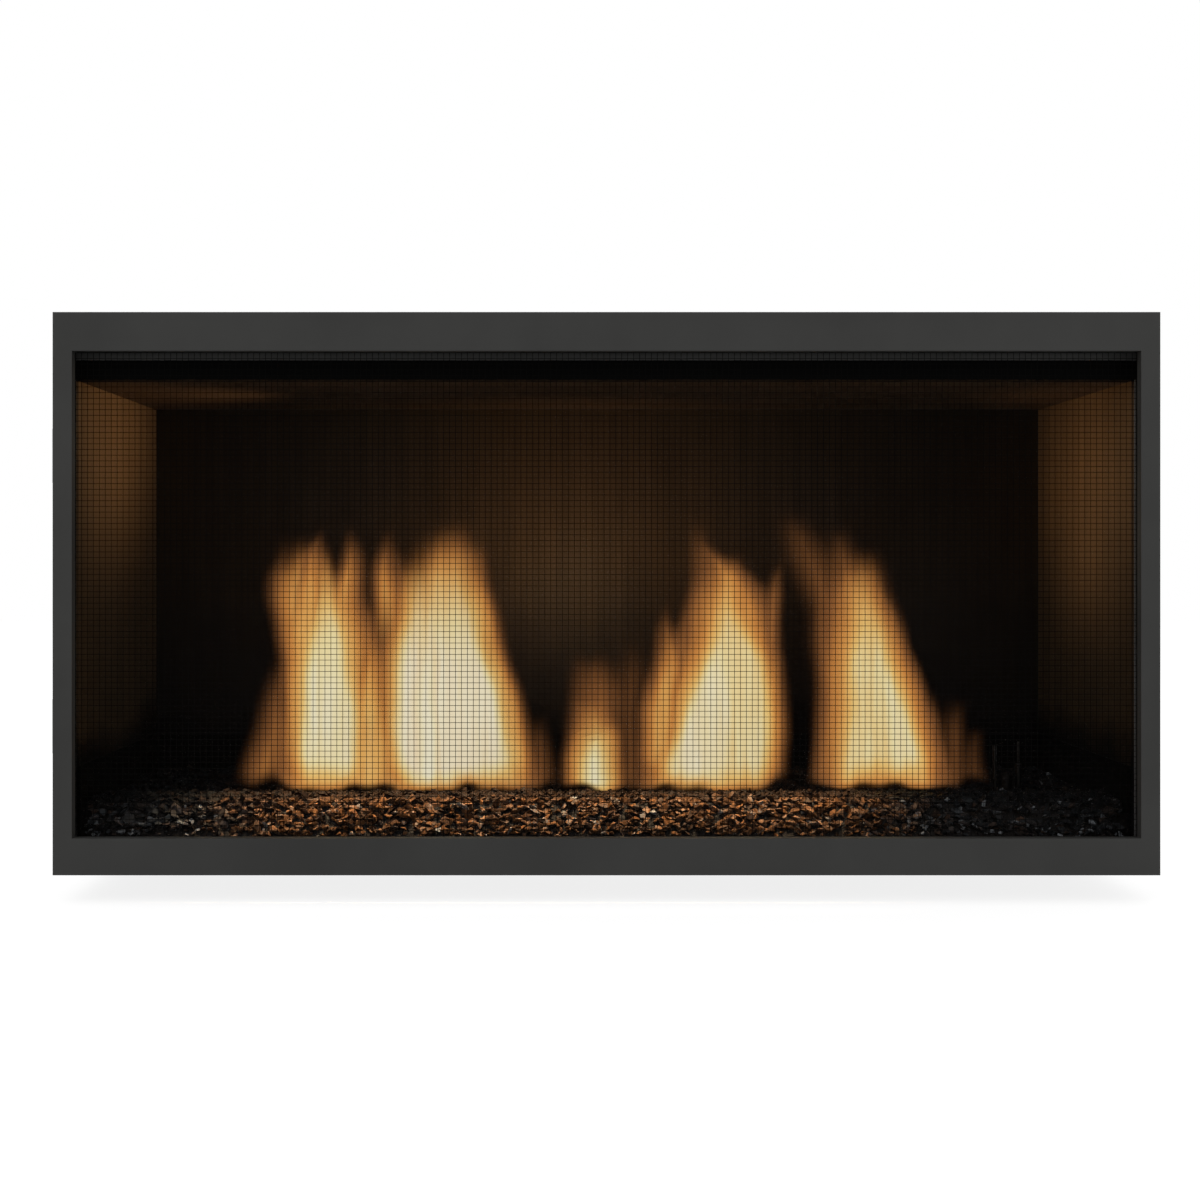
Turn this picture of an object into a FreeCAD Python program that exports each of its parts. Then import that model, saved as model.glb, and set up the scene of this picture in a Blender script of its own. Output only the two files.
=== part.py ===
"""Built-in linear gas fireplace with a direct vent, as it comes apart on a bench.

Millimetres, +Z up. The front faces -Y, and the origin lies on the floor under the middle of the unit.
Most places are given as (x, depth, z), where depth counts back from the front face of the surround trim.
"""

import FreeCAD
import Part
import math
import os

from FreeCAD import Vector

# Overall
overall_depth = 406.0
floor_gap = 32.0
running_gap = 0.4
seat_gap = 0.1

# Surround trim
trim_width = 1168.0
trim_height = 594.0
trim_top_band = 41.0
trim_bottom_band = 39.0
trim_side_band = 20.5
trim_sheet = 1.5
trim_outer_return = 20.0
trim_inner_return = 11.0
trim_edge_radius = 1.0

# Safety screen in the trim
mesh_thickness = 1.0
mesh_margin = 9.0
mesh_bar = 2.6
mesh_pitch = 6.33
retainer_sheet = 1.2
retainer_web_gap = 0.8
retainer_foot = 7.0

# Snap tabs that hold the screen and trim on, and their spring clips
tab_x = 400.0
tab_top_drop = 14.0
tab_bottom_rise = 9.5
tab_foot_length = 24.0
tab_foot_height = 9.0
tab_sheet = 2.0
tab_width = 10.0
tab_head_width = 14.0
tab_tip_width = 6.0
tab_head = 5.0
tab_slot_clearance = 0.5
clip_sheet = 0.8
clip_width = 24.0
clip_height = 10.0
clip_leg = 5.0

# Outer casing
casing_sheet = 1.2
casing_overhang = 4.0
casing_front = 24.0
casing_top_drop = 4.0
casing_flange = 12.0
sill_rise = 2.0
sill_front = 22.0
base_step = 160.0
skid_height = 6.0
skid_width = 40.0
skid_flange = 12.0
skid_x = 480.0
skid_end_margin = 14.0
lintel_depth = 26.0
lintel_drop = 6.0
lintel_hem = 7.0
lintel_flange = 20.0
upstand_width = 40.0
upstand_height = 12.8
intake_slots = 6
intake_slot_length = 80.0
intake_slot_height = 8.0
gas_entry_radius = 20.0

# Nailing flanges and standoffs
nailing_sheet = 1.5
nailing_reach = 24.0
nailing_height = 60.0
nailing_depth = 84.0
nailing_leg = 40.0
nailing_spacing = 300.0
nailing_middle_z = 330.0
nailing_hole_radius = 3.0
standoff_height = 24.0
standoff_width = 36.0
standoff_foot = 12.0
standoff_x = 420.0
standoff_front = 150.0
standoff_back_margin = 24.8

# Firebox
firebox_sheet = 1.5
side_gap = 8.8
rear_gap = 28.0
top_gap = 34.0
mouth_flange = 7.5
shelf_rise = 26.0
deck_rise = 44.0
deck_front = 128.0
liner_thickness = 4.0
skirt_thickness = 5.4
skirt_top_rise = 108.0
ceiling_drop = 26.0
baffle_front = 62.0
baffle_lip = 13.0

# Glass door
door_front = 36.0
door_sheet = 1.5
door_frame_depth = 11.0
door_side_clearance = 1.2
door_side_band = 11.6
door_bottom_rise = 18.0
door_bottom_band = 12.0
door_top_over = 31.0
glass_thickness = 5.0
glass_edge_gap = 2.0
gasket_front = 2.5
gasket_rear = 4.0
gasket_leg = 9.5
hook_x = 420.0
hook_width = 30.0
hook_sheet = 1.5
hook_lip = 4.7
hook_clearance = 0.3
hook_leg = 4.5
hook_slot = 1.1
latch_x = 200.0
latch_width = 16.0
latch_sheet = 1.0
latch_tab_drop = 4.5
latch_tab_width = 20.0
latch_gap = 0.3
latch_foot_depth = 112.0
latch_foot_length = 26.0

# Flue
flue_setback = 104.8
inner_collar_radius = 51.0
outer_collar_radius = 84.0
collar_wall = 0.8
outer_collar_height = 36.0
inner_collar_over = 2.0
collar_flange = 12.0
collar_flange_sheet = 1.2
restrictor_sheet = 1.2
restrictor_length = 90.0
restrictor_width = 110.0
restrictor_offset = 52.0
restrictor_travel = 45.0
restrictor_gap = 0.8
guide_sheet = 1.2
guide_flange = 12.0
guide_lip = 8.0

# Pressure relief flaps
flap_x = 300.0
flap_width = 116.0
flap_length = 82.0
flap_port_width = 96.0
flap_port_length = 56.0
flap_hinge_depth = 204.0
flap_sheet = 1.5
flap_seat_gap = 0.3
flap_pin_radius = 2.0
flap_pin_clearance = 0.08
flap_knuckle_radius = 3.6
flap_knuckle_length = 48.0
flap_axis_rise = 4.2
flap_ear_sheet = 2.0
flap_ear_length = 10.0
flap_ear_over = 5.0

# Burner and media
burner_length = 880.0
burner_depth = 190.0
burner_width = 50.0
burner_height = 12.0
burner_wall = 1.2
burner_port_count = 30
burner_port_pitch = 28.8
burner_port_length = 18.0
burner_port_width = 2.4
burner_foot = 15.0
media_crest_depth = 100.0
media_crest_rise = 41.0
media_cover = 3.0
media_back_cover = 6.0
media_toe = 2.0

# Venturi, air shutter and orifice
venturi_x = -60.0
venturi_radius = 15.0
venturi_wall = 1.4
venturi_drop = 40.0
venturi_end_x = -200.0
air_window_size = 14.0
air_window_inset = 8.0
shutter_wall = 1.5
shutter_clearance = 0.08
shutter_length = 22.0
shutter_lever = 10.0
shutter_lever_width = 8.0
shutter_lever_sheet = 2.0
holder_plate = 5.0
holder_boss_radius = 9.0
holder_boss = 13.0
orifice_radius = 3.9
orifice_hex = 5.5
orifice_length = 8.0
orifice_nose = 5.0

# Gas train under the deck
gas_line_setback = 104.8
gas_line_rise = 36.0
supply_radius = 5.0
supply_loop_x = -256.0
valve_x = 150.0
valve_length = 100.0
valve_width = 64.0
valve_height = 48.0
valve_edge_chamfer = 4.0
valve_boss_radius = 11.0
valve_boss = 10.0
valve_coil_radius = 13.0
valve_coil_height = 9.0
valve_stem_radius = 3.0
valve_stem = 14.0
bracket_sheet = 1.2
bracket_foot = 14.0
knob_offset = 26.0
gas_knob_radius = 13.0
flame_knob_radius = 9.5
knob_length = 14.0
knob_gap = 4.0
knob_bore_clearance = 0.05
knob_sides = 12
knob_grip_width = 5.0
knob_grip_height = 4.0
inlet_radius = 8.0
shutoff_inset = 61.8
shutoff_length = 70.0
shutoff_hex_radius = 16.0
shutoff_stem_radius = 5.0
shutoff_stem = 22.0
inlet_bore_radius = 9.3
inlet_bore_length = 18.0
lever_length = 60.0
lever_width = 12.0
lever_sheet = 3.0
lever_hub_radius = 8.0
pilot_line_radius = 2.5
pilot_line_rise = 67.0
pilot_line_run_gap = 20.0

# Pilot
pilot_gap = 42.0
pilot_depth = 205.0
pilot_plate_length = 44.0
pilot_plate_width = 18.0
pilot_plate_sheet = 2.0
pilot_hood_radius = 8.0
pilot_hood_height = 34.0
pilot_spacing = 14.0
electrode_radius = 4.0
electrode_insulator = 44.0
electrode_rod_radius = 1.2
electrode_height = 70.0
sensor_radius = 2.4
sensor_nut_radius = 5.0
sensor_nut = 6.0
sensor_height = 66.0
pilot_pocket_margin = 5.0

# Ignition module and its switch
module_x = -410.0
module_length = 120.0
module_width = 70.0
module_height = 34.0
module_edge_chamfer = 3.0
module_setback = 134.8
switch_length = 28.0
switch_height = 13.0
switch_reach = 9.0
switch_crown = 1.5
switch_rear = 8.0
switch_rest_tilt = 9.0
switch_side_gap = 0.5
switch_pivot_inset = 7.0
switch_trunnion_radius = 1.2
switch_trunnion = 1.5

# Places worked out from the sizes above
front_y = -overall_depth / 2
trim_half = trim_width / 2
trim_z0 = floor_gap
trim_z1 = trim_z0 + trim_height
open_half = trim_half - trim_side_band
open_z0 = trim_z0 + trim_bottom_band
open_z1 = trim_z1 - trim_top_band
mesh_front = trim_inner_return
mesh_back = mesh_front + mesh_thickness
retainer_back = mesh_back + retainer_sheet
retainer_web_in = mesh_margin + retainer_web_gap
retainer_web_out = retainer_web_in + retainer_sheet
tab_top_z = trim_z1 - tab_top_drop
tab_bottom_z = trim_z0 + tab_bottom_rise
clip_front = lintel_depth + casing_sheet
tab_shoulder = clip_front + clip_sheet + seat_gap

casing_half = trim_half + casing_overhang
casing_inner = casing_half - casing_sheet
casing_z1 = trim_z1 - casing_top_drop
casing_ceiling = casing_z1 - casing_sheet
casing_back_depth = overall_depth - casing_sheet
flue_depth = casing_back_depth - flue_setback
gas_line_depth = casing_back_depth - gas_line_setback
module_depth = casing_back_depth - module_setback
pan_z0 = skid_height
pan_floor = pan_z0 + casing_sheet
sill_z0 = trim_z0 + sill_rise
sill_z1 = sill_z0 + casing_sheet
lintel_z0 = open_z1 - lintel_drop

firebox_half = casing_inner - side_gap
firebox_inner = firebox_half - firebox_sheet
firebox_back_out = casing_back_depth - rear_gap
firebox_back_in = firebox_back_out - firebox_sheet
firebox_top_out = casing_ceiling - top_gap
firebox_top_in = firebox_top_out - firebox_sheet
gasket_front_depth = door_front + door_sheet
glass_front = gasket_front_depth + gasket_front
glass_back = glass_front + glass_thickness
door_back = glass_back + gasket_rear
mouth_front = door_back + running_gap
mouth_back = mouth_front + firebox_sheet
shelf_z = trim_z0 + shelf_rise
deck_z = trim_z0 + deck_rise
deck_under = deck_z - firebox_sheet
skirt_z1 = trim_z0 + skirt_top_rise
ceiling_z = open_z1 - ceiling_drop
lining_outer = firebox_inner - seat_gap
liner_face = lining_outer - liner_thickness
skirt_face = lining_outer - skirt_thickness
lining_back = firebox_back_in - seat_gap
lining_front = mouth_back + seat_gap

door_half = casing_inner - door_side_clearance
door_z0 = trim_z0 + door_bottom_rise
door_z1 = ceiling_z + door_top_over
door_open_half = door_half - door_side_band
door_open_z0 = door_z0 + door_bottom_band
gasket_half = door_half - door_sheet - seat_gap
gasket_z0 = door_z0 + door_sheet + seat_gap
gasket_z1 = door_z1 - door_sheet - seat_gap
door_leg_back = door_front + door_frame_depth
header_z0 = gasket_z1 - 2 * gasket_leg
header_z1 = door_z1 + hook_lip
latch_tab_back = door_leg_back
latch_tab_front = door_leg_back - door_sheet
latch_tab_z0 = door_z0 - latch_tab_drop

flue_outer_inside = outer_collar_radius - collar_wall
flue_inner_inside = inner_collar_radius - collar_wall
outer_collar_top = casing_z1 + outer_collar_height
inner_collar_top = outer_collar_top + inner_collar_over
restrictor_z1 = firebox_top_in - restrictor_gap
restrictor_z0 = restrictor_z1 - restrictor_sheet
flap_z0 = firebox_top_out + flap_seat_gap
flap_axis_z = firebox_top_out + flap_axis_rise
flap_ear_x = flap_width / 2 + flap_ear_sheet

burner_half = burner_length / 2
burner_front = burner_depth - burner_width / 2
burner_back = burner_depth + burner_width / 2
burner_z1 = deck_z + burner_height
media_half = skirt_face - seat_gap
media_front = lining_front + seat_gap
media_back = lining_back - skirt_thickness - seat_gap
media_crest_z = shelf_z + media_crest_rise
venturi_z = deck_z - venturi_drop
venturi_inside = venturi_radius - venturi_wall
shutter_inside = venturi_radius + shutter_clearance
shutter_outside = shutter_inside + shutter_wall
air_window_x = venturi_end_x + air_window_inset
gas_line_z = gas_line_rise
valve_left = valve_x - valve_length / 2
valve_right = valve_x + valve_length / 2
valve_front = gas_line_depth - valve_width / 2
valve_rear = gas_line_depth + valve_width / 2
valve_z0 = gas_line_z - valve_height / 2
valve_z1 = gas_line_z + valve_height / 2
knob_back = valve_front - knob_gap
knob_front = knob_back - knob_length
shutoff_x = casing_inner - shutoff_inset
shutoff_left = shutoff_x - shutoff_length / 2
shutoff_right = shutoff_x + shutoff_length / 2
shutoff_stem_z = gas_line_z + shutoff_stem
pilot_x = burner_half + pilot_gap
pilot_plate_z = deck_z + pilot_plate_sheet
pilot_line_run_depth = valve_rear + pilot_line_run_gap
switch_z = pan_floor + module_height / 2
switch_depth = module_depth + switch_pivot_inset

BOTH_SIDES = (-1, 1)
REACH_PAST = 1.0
MITRED_CORNERS = 1


def at(x, depth, z):
    """Point from its side-to-side place, its depth behind the trim's face and its height."""
    return Vector(x, front_y + depth, z)


def block(x0, x1, d0, d1, z0, z1):
    """Box between two corners."""
    return Part.makeBox(x1 - x0, d1 - d0, z1 - z0, at(x0, d0, z0))


def rod(start, direction, radius, length):
    """Solid cylinder from a point along a direction."""
    return Part.makeCylinder(radius, length, start, direction)


def pipe(start, direction, outside, inside, length):
    """Round tube with open ends."""
    bore = rod(start - direction * REACH_PAST, direction, inside, length + 2 * REACH_PAST)
    return rod(start, direction, outside, length).cut(bore)


def hexagon(start, direction, radius, length):
    """Hexagonal bar along X or Z, with its corners on the radius."""
    across = Vector(0, 1, 0)
    up = direction.cross(across)
    corners = []
    for corner in range(7):
        turn = math.radians(60 * corner)
        corners.append(start + (across * math.cos(turn) + up * math.sin(turn)) * radius)
    return Part.Face(Part.makePolygon(corners)).extrude(direction * length)


def prism(points, direction):
    """Solid from a closed outline of points, pushed along a direction."""
    return Part.Face(Part.makePolygon(points + points[:1])).extrude(direction)


def prism_x(outline, x0, x1):
    """Outline of (depth, z) points pushed from x0 to x1."""
    return prism([at(x0, d, z) for d, z in outline], Vector(x1 - x0, 0, 0))


def prism_y(outline, d0, d1):
    """Outline of (x, z) points pushed back from depth d0 to d1."""
    return prism([at(x, d0, z) for x, z in outline], Vector(0, d1 - d0, 0))


def folded(path, thickness):
    """Closed outline of a sheet folded along a path, with its thickness on the path's left."""
    normals = []
    for (a0, b0), (a1, b1) in zip(path, path[1:]):
        length = math.hypot(a1 - a0, b1 - b0)
        normals.append((-(b1 - b0) / length, (a1 - a0) / length))
    far_side = []
    for index, (a, b) in enumerate(path):
        before = normals[max(index - 1, 0)]
        after = normals[min(index, len(normals) - 1)]
        share = thickness / (1 + before[0] * after[0] + before[1] * after[1])
        far_side.append((a + (before[0] + after[0]) * share, b + (before[1] + after[1]) * share))
    return list(path) + far_side[::-1]


def fuse(shapes):
    """One solid from pieces that share faces or volume."""
    return shapes[0].multiFuse(shapes[1:]).removeSplitter()


def group(shapes):
    """Separate solids kept together."""
    return Part.makeCompound(shapes)


def mirrored(shape):
    """The same piece on the other side of the unit."""
    return shape.mirror(Vector(0, 0, 0), Vector(1, 0, 0))


def opening_ring(inner, outer, d0, d1):
    """Rectangular ring round the trim's opening, between two distances out from its edge."""
    whole = block(-open_half - outer, open_half + outer, d0, d1, open_z0 - outer, open_z1 + outer)
    hole = block(
        -open_half - inner, open_half + inner, d0 - REACH_PAST, d1 + REACH_PAST, open_z0 - inner, open_z1 + inner
    )
    return whole.cut(hole)


def rectangle_ring(half_out, z0_out, z1_out, half_in, z0_in, z1_in, d0, d1):
    """Rectangular ring between two rectangles centred on x = 0."""
    whole = block(-half_out, half_out, d0, d1, z0_out, z1_out)
    return whole.cut(block(-half_in, half_in, d0 - REACH_PAST, d1 + REACH_PAST, z0_in, z1_in))


def mitred_tube(points, outside):
    """Round bar along straight runs that meet in mitred corners."""
    path = Part.makePolygon(points)
    section = Part.Wire(Part.makeCircle(outside, points[0], points[1] - points[0]))
    return path.makePipeShell([section], True, False, MITRED_CORNERS)


def chamfered_uprights(solid, height, chamfer):
    """The same block with its upright edges chamfered."""
    uprights = [edge for edge in solid.Edges if abs(edge.BoundBox.ZLength - height) < seat_gap]
    return solid.makeChamfer(chamfer, uprights)


def spread(count, half):
    """Places evenly spaced from -half to half."""
    return [-half + 2 * half * index / (count - 1) for index in range(count)]


def tab_places():
    """Where the four snap tabs stand, as (x, z)."""
    return [(side * tab_x, z) for side in BOTH_SIDES for z in (tab_top_z, tab_bottom_z)]


def tab_slot(x, z, depth):
    """Cutter for the slot that a snap tab passes through, at a depth."""
    half_width = tab_head_width / 2 + tab_slot_clearance
    half_height = tab_sheet / 2 + tab_slot_clearance
    return block(
        x - half_width,
        x + half_width,
        depth - REACH_PAST,
        depth + clip_leg,
        z - half_height,
        z + half_height,
    )


# Surround trim and safety screen


def surround_trim():
    """Folded front frame: a flat face with a return round its outside and one round the opening."""
    shell = block(-trim_half, trim_half, 0, trim_outer_return, trim_z0, trim_z1)
    outer_edges = [edge for edge in shell.Edges if abs(edge.CenterOfMass.y - front_y) < seat_gap]
    shell = shell.makeFillet(trim_edge_radius, outer_edges)
    hollow = block(
        -trim_half + trim_sheet,
        trim_half - trim_sheet,
        trim_sheet,
        trim_outer_return + REACH_PAST,
        trim_z0 + trim_sheet,
        trim_z1 - trim_sheet,
    )
    window = block(-open_half, open_half, -REACH_PAST, trim_sheet + REACH_PAST, open_z0, open_z1)
    inner_return = opening_ring(0, trim_sheet, 0, trim_inner_return)
    return fuse([shell.cut(hollow).cut(window), inner_return])


def screen_mesh():
    """Flat screen, one slotted sheet at the weave's pitch, clamped behind the trim's inner return."""

    def outline(x0, x1, z0, z1):
        corners = [(x0, z0), (x1, z0), (x1, z1), (x0, z1), (x0, z0)]
        return Part.makePolygon([at(x, mesh_front, z) for x, z in corners])

    reach = open_half + mesh_margin
    wires = [outline(-reach, reach, open_z0 - mesh_margin, open_z1 + mesh_margin)]
    gaps = int(2 * open_half // mesh_pitch)
    first = -mesh_pitch * gaps / 2
    for column in range(gaps):
        x0 = first + column * mesh_pitch + mesh_bar / 2
        wires.append(outline(x0, x0 + mesh_pitch - mesh_bar, open_z0, open_z1))
    return Part.makeFace(wires, "Part::FaceMakerBullseye").extrude(Vector(0, mesh_thickness, 0))


def screen_retainer():
    """Folded clamp frame: a lip behind the mesh, a web and a foot on the back of the trim."""
    foot_back = trim_sheet + retainer_sheet
    lip = opening_ring(0, retainer_web_out, mesh_back, retainer_back)
    web = opening_ring(retainer_web_in, retainer_web_out, trim_sheet, retainer_back)
    foot = opening_ring(retainer_web_in, retainer_web_out + retainer_foot, trim_sheet, foot_back)
    return fuse([lip, web, foot])


def barrier_tabs():
    """Arrow-headed tabs on the back of the trim that snap into the spring clips."""
    tabs = []
    neck = tab_width / 2
    head = tab_head_width / 2
    tip = tab_tip_width / 2
    for x, z in tab_places():
        outline = [
            (x - neck, trim_sheet),
            (x - neck, tab_shoulder),
            (x - head, tab_shoulder),
            (x - tip, tab_shoulder + tab_head),
            (x + tip, tab_shoulder + tab_head),
            (x + head, tab_shoulder),
            (x + neck, tab_shoulder),
            (x + neck, trim_sheet),
        ]
        blade = prism([at(px, d, z - tab_sheet / 2) for px, d in outline], Vector(0, 0, tab_sheet))
        foot = block(
            x - tab_foot_length / 2,
            x + tab_foot_length / 2,
            trim_sheet,
            trim_sheet + tab_sheet,
            z - tab_foot_height / 2,
            z + tab_foot_height / 2,
        )
        tabs.append(fuse([blade, foot]))
    return group(tabs)


# Outer casing


def barrier_clips():
    """Spring clips behind the lintel and the sill's upstands."""
    clips = []
    half = clip_width / 2
    for x, z in tab_places():
        path = [
            (x - half, clip_front + clip_leg),
            (x - half, clip_front),
            (x + half, clip_front),
            (x + half, clip_front + clip_leg),
        ]
        outline = folded(path, clip_sheet)
        channel = prism([at(px, d, z - clip_height / 2) for px, d in outline], Vector(0, 0, clip_height))
        clips.append(channel.cut(tab_slot(x, z, clip_front)))
    return group(clips)


def heat_lintel():
    """Hood over the opening, with a hemmed lower edge and a flange under the casing's top."""
    path = [
        (lintel_depth + lintel_flange, casing_ceiling),
        (lintel_depth, casing_ceiling),
        (lintel_depth, lintel_z0),
        (lintel_depth + lintel_hem, lintel_z0),
    ]
    hood = prism_x(folded(path, casing_sheet), -casing_inner, casing_inner)
    for side in BOTH_SIDES:
        hood = hood.cut(tab_slot(side * tab_x, tab_top_z, lintel_depth))
    return hood


def front_sill():
    """Flat sheet under the door, with two upstands for the lower clips."""
    pieces = [block(-casing_inner, casing_inner, sill_front, base_step + casing_sheet, sill_z0, sill_z1)]
    for side in BOTH_SIDES:
        x = side * tab_x
        upstand = block(
            x - upstand_width / 2,
            x + upstand_width / 2,
            lintel_depth,
            clip_front,
            sill_z1,
            sill_z1 + upstand_height,
        )
        pieces.append(upstand.cut(tab_slot(x, tab_bottom_z, lintel_depth)))
    return fuse(pieces)


def casing_side(side):
    """Side sheet, stepped up at the front, with intake slots and a gas line hole."""
    outline = [
        (casing_front, sill_z0),
        (base_step, sill_z0),
        (base_step, pan_z0),
        (casing_back_depth, pan_z0),
        (casing_back_depth, casing_z1),
        (casing_front, casing_z1),
    ]
    sheet = prism_x(outline, casing_inner, casing_half)
    reach = Vector(1, 0, 0)
    entry = rod(at(casing_inner - REACH_PAST, gas_line_depth, gas_line_z), reach, gas_entry_radius, casing_half)
    sheet = sheet.cut(entry)
    slot_pitch = (casing_back_depth - base_step) / intake_slots
    for index in range(intake_slots):
        middle = base_step + slot_pitch * (index + 0.5)
        if abs(middle - gas_line_depth) > gas_entry_radius + slot_pitch / 2:
            slot = block(
                casing_inner - REACH_PAST,
                casing_half + REACH_PAST,
                middle - slot_pitch / 4,
                middle + slot_pitch / 4,
                gas_line_z - intake_slot_height / 2,
                gas_line_z + intake_slot_height / 2,
            )
            sheet = sheet.cut(slot)
    return sheet if side > 0 else mirrored(sheet)


def casing_top():
    """Top sheet with folded-down sides and a hole for the vent."""
    path = [
        (-casing_inner + seat_gap, casing_z1 - casing_flange),
        (-casing_inner + seat_gap, casing_z1),
        (casing_inner - seat_gap, casing_z1),
        (casing_inner - seat_gap, casing_z1 - casing_flange),
    ]
    folded_part = prism_y(folded(path, -casing_sheet), lintel_depth + lintel_flange, casing_back_depth)
    front_part = block(
        -casing_inner + seat_gap,
        casing_inner - seat_gap,
        casing_front,
        lintel_depth + lintel_flange,
        casing_ceiling,
        casing_z1,
    )
    hole = rod(at(0, flue_depth, casing_ceiling - REACH_PAST), Vector(0, 0, 1), flue_outer_inside, casing_flange)
    return fuse([folded_part, front_part]).cut(hole)


def casing_back():
    """Plain back sheet."""
    return block(-casing_half, casing_half, casing_back_depth, overall_depth, pan_z0, casing_z1)


def base_pan():
    """Folded pan under the deck that carries the gas train, with air slots in its front wall."""
    path = [(base_step, sill_z0), (base_step, pan_z0), (casing_back_depth, pan_z0)]
    half = casing_inner - seat_gap
    pan = prism_x(folded(path, casing_sheet), -half, half)
    for x in spread(intake_slots, half - intake_slot_length):
        slot = block(
            x - intake_slot_length / 2,
            x + intake_slot_length / 2,
            base_step - REACH_PAST,
            base_step + casing_sheet + REACH_PAST,
            (pan_z0 + sill_z0 - intake_slot_height) / 2,
            (pan_z0 + sill_z0 + intake_slot_height) / 2,
        )
        pan = pan.cut(slot)
    return pan


def base_skids():
    """Two hat-section runners that the unit stands on."""
    skids = []
    for side in BOTH_SIDES:
        x = side * skid_x
        half = skid_width / 2
        path = [
            (x - half - skid_flange, pan_z0),
            (x - half, pan_z0),
            (x - half, casing_sheet),
            (x + half, casing_sheet),
            (x + half, pan_z0),
            (x + half + skid_flange, pan_z0),
        ]
        outline = folded(path, -casing_sheet)
        skids.append(prism_y(outline, base_step + skid_end_margin, casing_back_depth - skid_end_margin))
    return group(skids)


def nailing_flanges():
    """Four angle brackets that fasten the casing to the framing."""
    flanges = []
    x1 = casing_half + nailing_reach
    for z in (nailing_middle_z - nailing_spacing / 2, nailing_middle_z + nailing_spacing / 2):
        z0 = z - nailing_height / 2
        z1 = z + nailing_height / 2
        face = block(casing_half, x1, nailing_depth, nailing_depth + nailing_sheet, z0, z1)
        leg = block(casing_half, casing_half + nailing_sheet, nailing_depth, nailing_depth + nailing_leg, z0, z1)
        hole_x = casing_half + nailing_reach / 2
        hole = rod(at(hole_x, nailing_depth - REACH_PAST, z), Vector(0, 1, 0), nailing_hole_radius, nailing_leg)
        flange = fuse([face, leg]).cut(hole)
        flanges.append(flange)
        flanges.append(mirrored(flange))
    return group(flanges)


def top_standoffs():
    """Hat-section spacers that keep framing off the hot top."""
    spacers = []
    for side in BOTH_SIDES:
        x = side * standoff_x
        half = standoff_width / 2
        crown = casing_z1 + standoff_height
        path = [
            (x - half - standoff_foot, casing_z1),
            (x - half, casing_z1),
            (x - half, crown),
            (x + half, crown),
            (x + half, casing_z1),
            (x + half + standoff_foot, casing_z1),
        ]
        outline = folded(path, casing_sheet)
        spacers.append(prism_y(outline, standoff_front, casing_back_depth - standoff_back_margin))
    return group(spacers)


# Firebox


def firebox_side(side):
    """Side sheet with an outward flange at the mouth for the door's seal."""
    sheet = block(firebox_inner, firebox_half, mouth_back, firebox_back_out, door_z0, firebox_top_in)
    flange = block(firebox_inner, firebox_half + mouth_flange, mouth_front, mouth_back, door_z0, door_z1)
    wall = fuse([sheet, flange])
    return wall if side > 0 else mirrored(wall)


def firebox_back():
    """Back sheet between the sides."""
    return block(-lining_outer, lining_outer, firebox_back_in, firebox_back_out, door_z0, firebox_top_in)


def firebox_top():
    """Top sheet with the flue hole and two relief ports."""
    sheet = block(-firebox_half, firebox_half, mouth_back, firebox_back_out, firebox_top_in, firebox_top_out)
    up = Vector(0, 0, 1)
    sheet = sheet.cut(rod(at(0, flue_depth, firebox_top_in - REACH_PAST), up, flue_inner_inside, top_gap))
    port_middle = flap_hinge_depth - flap_length / 2
    for side in BOTH_SIDES:
        port = block(
            side * flap_x - flap_port_width / 2,
            side * flap_x + flap_port_width / 2,
            port_middle - flap_port_length / 2,
            port_middle + flap_port_length / 2,
            firebox_top_in - REACH_PAST,
            firebox_top_out + REACH_PAST,
        )
        sheet = sheet.cut(port)
    return sheet


def firebox_header():
    """Strip over the mouth; the door's hooks hang on its upper edge."""
    return block(-lining_outer, lining_outer, mouth_front, mouth_back, header_z0, header_z1)


def firebox_floor():
    """Stepped floor: a low shelf behind the glass, a riser and the burner deck."""
    path = [
        (mouth_front, door_z0),
        (mouth_front, shelf_z),
        (deck_front, shelf_z),
        (deck_front, deck_z),
        (lining_back, deck_z),
    ]
    floor = prism_x(folded(path, -firebox_sheet), -lining_outer, lining_outer)
    down = Vector(0, 0, -1)
    inlet = rod(at(venturi_x, burner_depth, deck_z + REACH_PAST), down, venturi_radius + running_gap, deck_rise)
    pilot = rod(at(pilot_x, pilot_depth, deck_z + REACH_PAST), down, pilot_line_radius + running_gap, deck_rise)
    return floor.cut(inlet).cut(pilot)


def liner(side):
    """Side panel that stands on the skirt."""
    panel = block(liner_face, lining_outer, lining_front, lining_back, skirt_z1, ceiling_z)
    return panel if side > 0 else mirrored(panel)


def liner_back():
    """Back panel between the side panels."""
    return block(-liner_face, liner_face, lining_back - liner_thickness, lining_back, skirt_z1, ceiling_z)


def media_skirt():
    """Dark skirts round the media bed that carry the panels."""
    outline = [
        (lining_front, shelf_z),
        (deck_front, shelf_z),
        (deck_front, deck_z),
        (lining_back, deck_z),
        (lining_back, skirt_z1),
        (lining_front, skirt_z1),
    ]
    right = prism_x(outline, skirt_face, lining_outer)
    back = block(-skirt_face, skirt_face, lining_back - skirt_thickness, lining_back, deck_z, skirt_z1)
    return group([right, mirrored(right), back])


def ceiling_baffle():
    """Ceiling panel; the exhaust rises past its front lip on the way to the flue."""
    path = [(baffle_front, ceiling_z + baffle_lip), (baffle_front, ceiling_z), (lining_back, ceiling_z)]
    return prism_x(folded(path, firebox_sheet), -lining_outer, lining_outer)


# Flue and relief flaps


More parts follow.
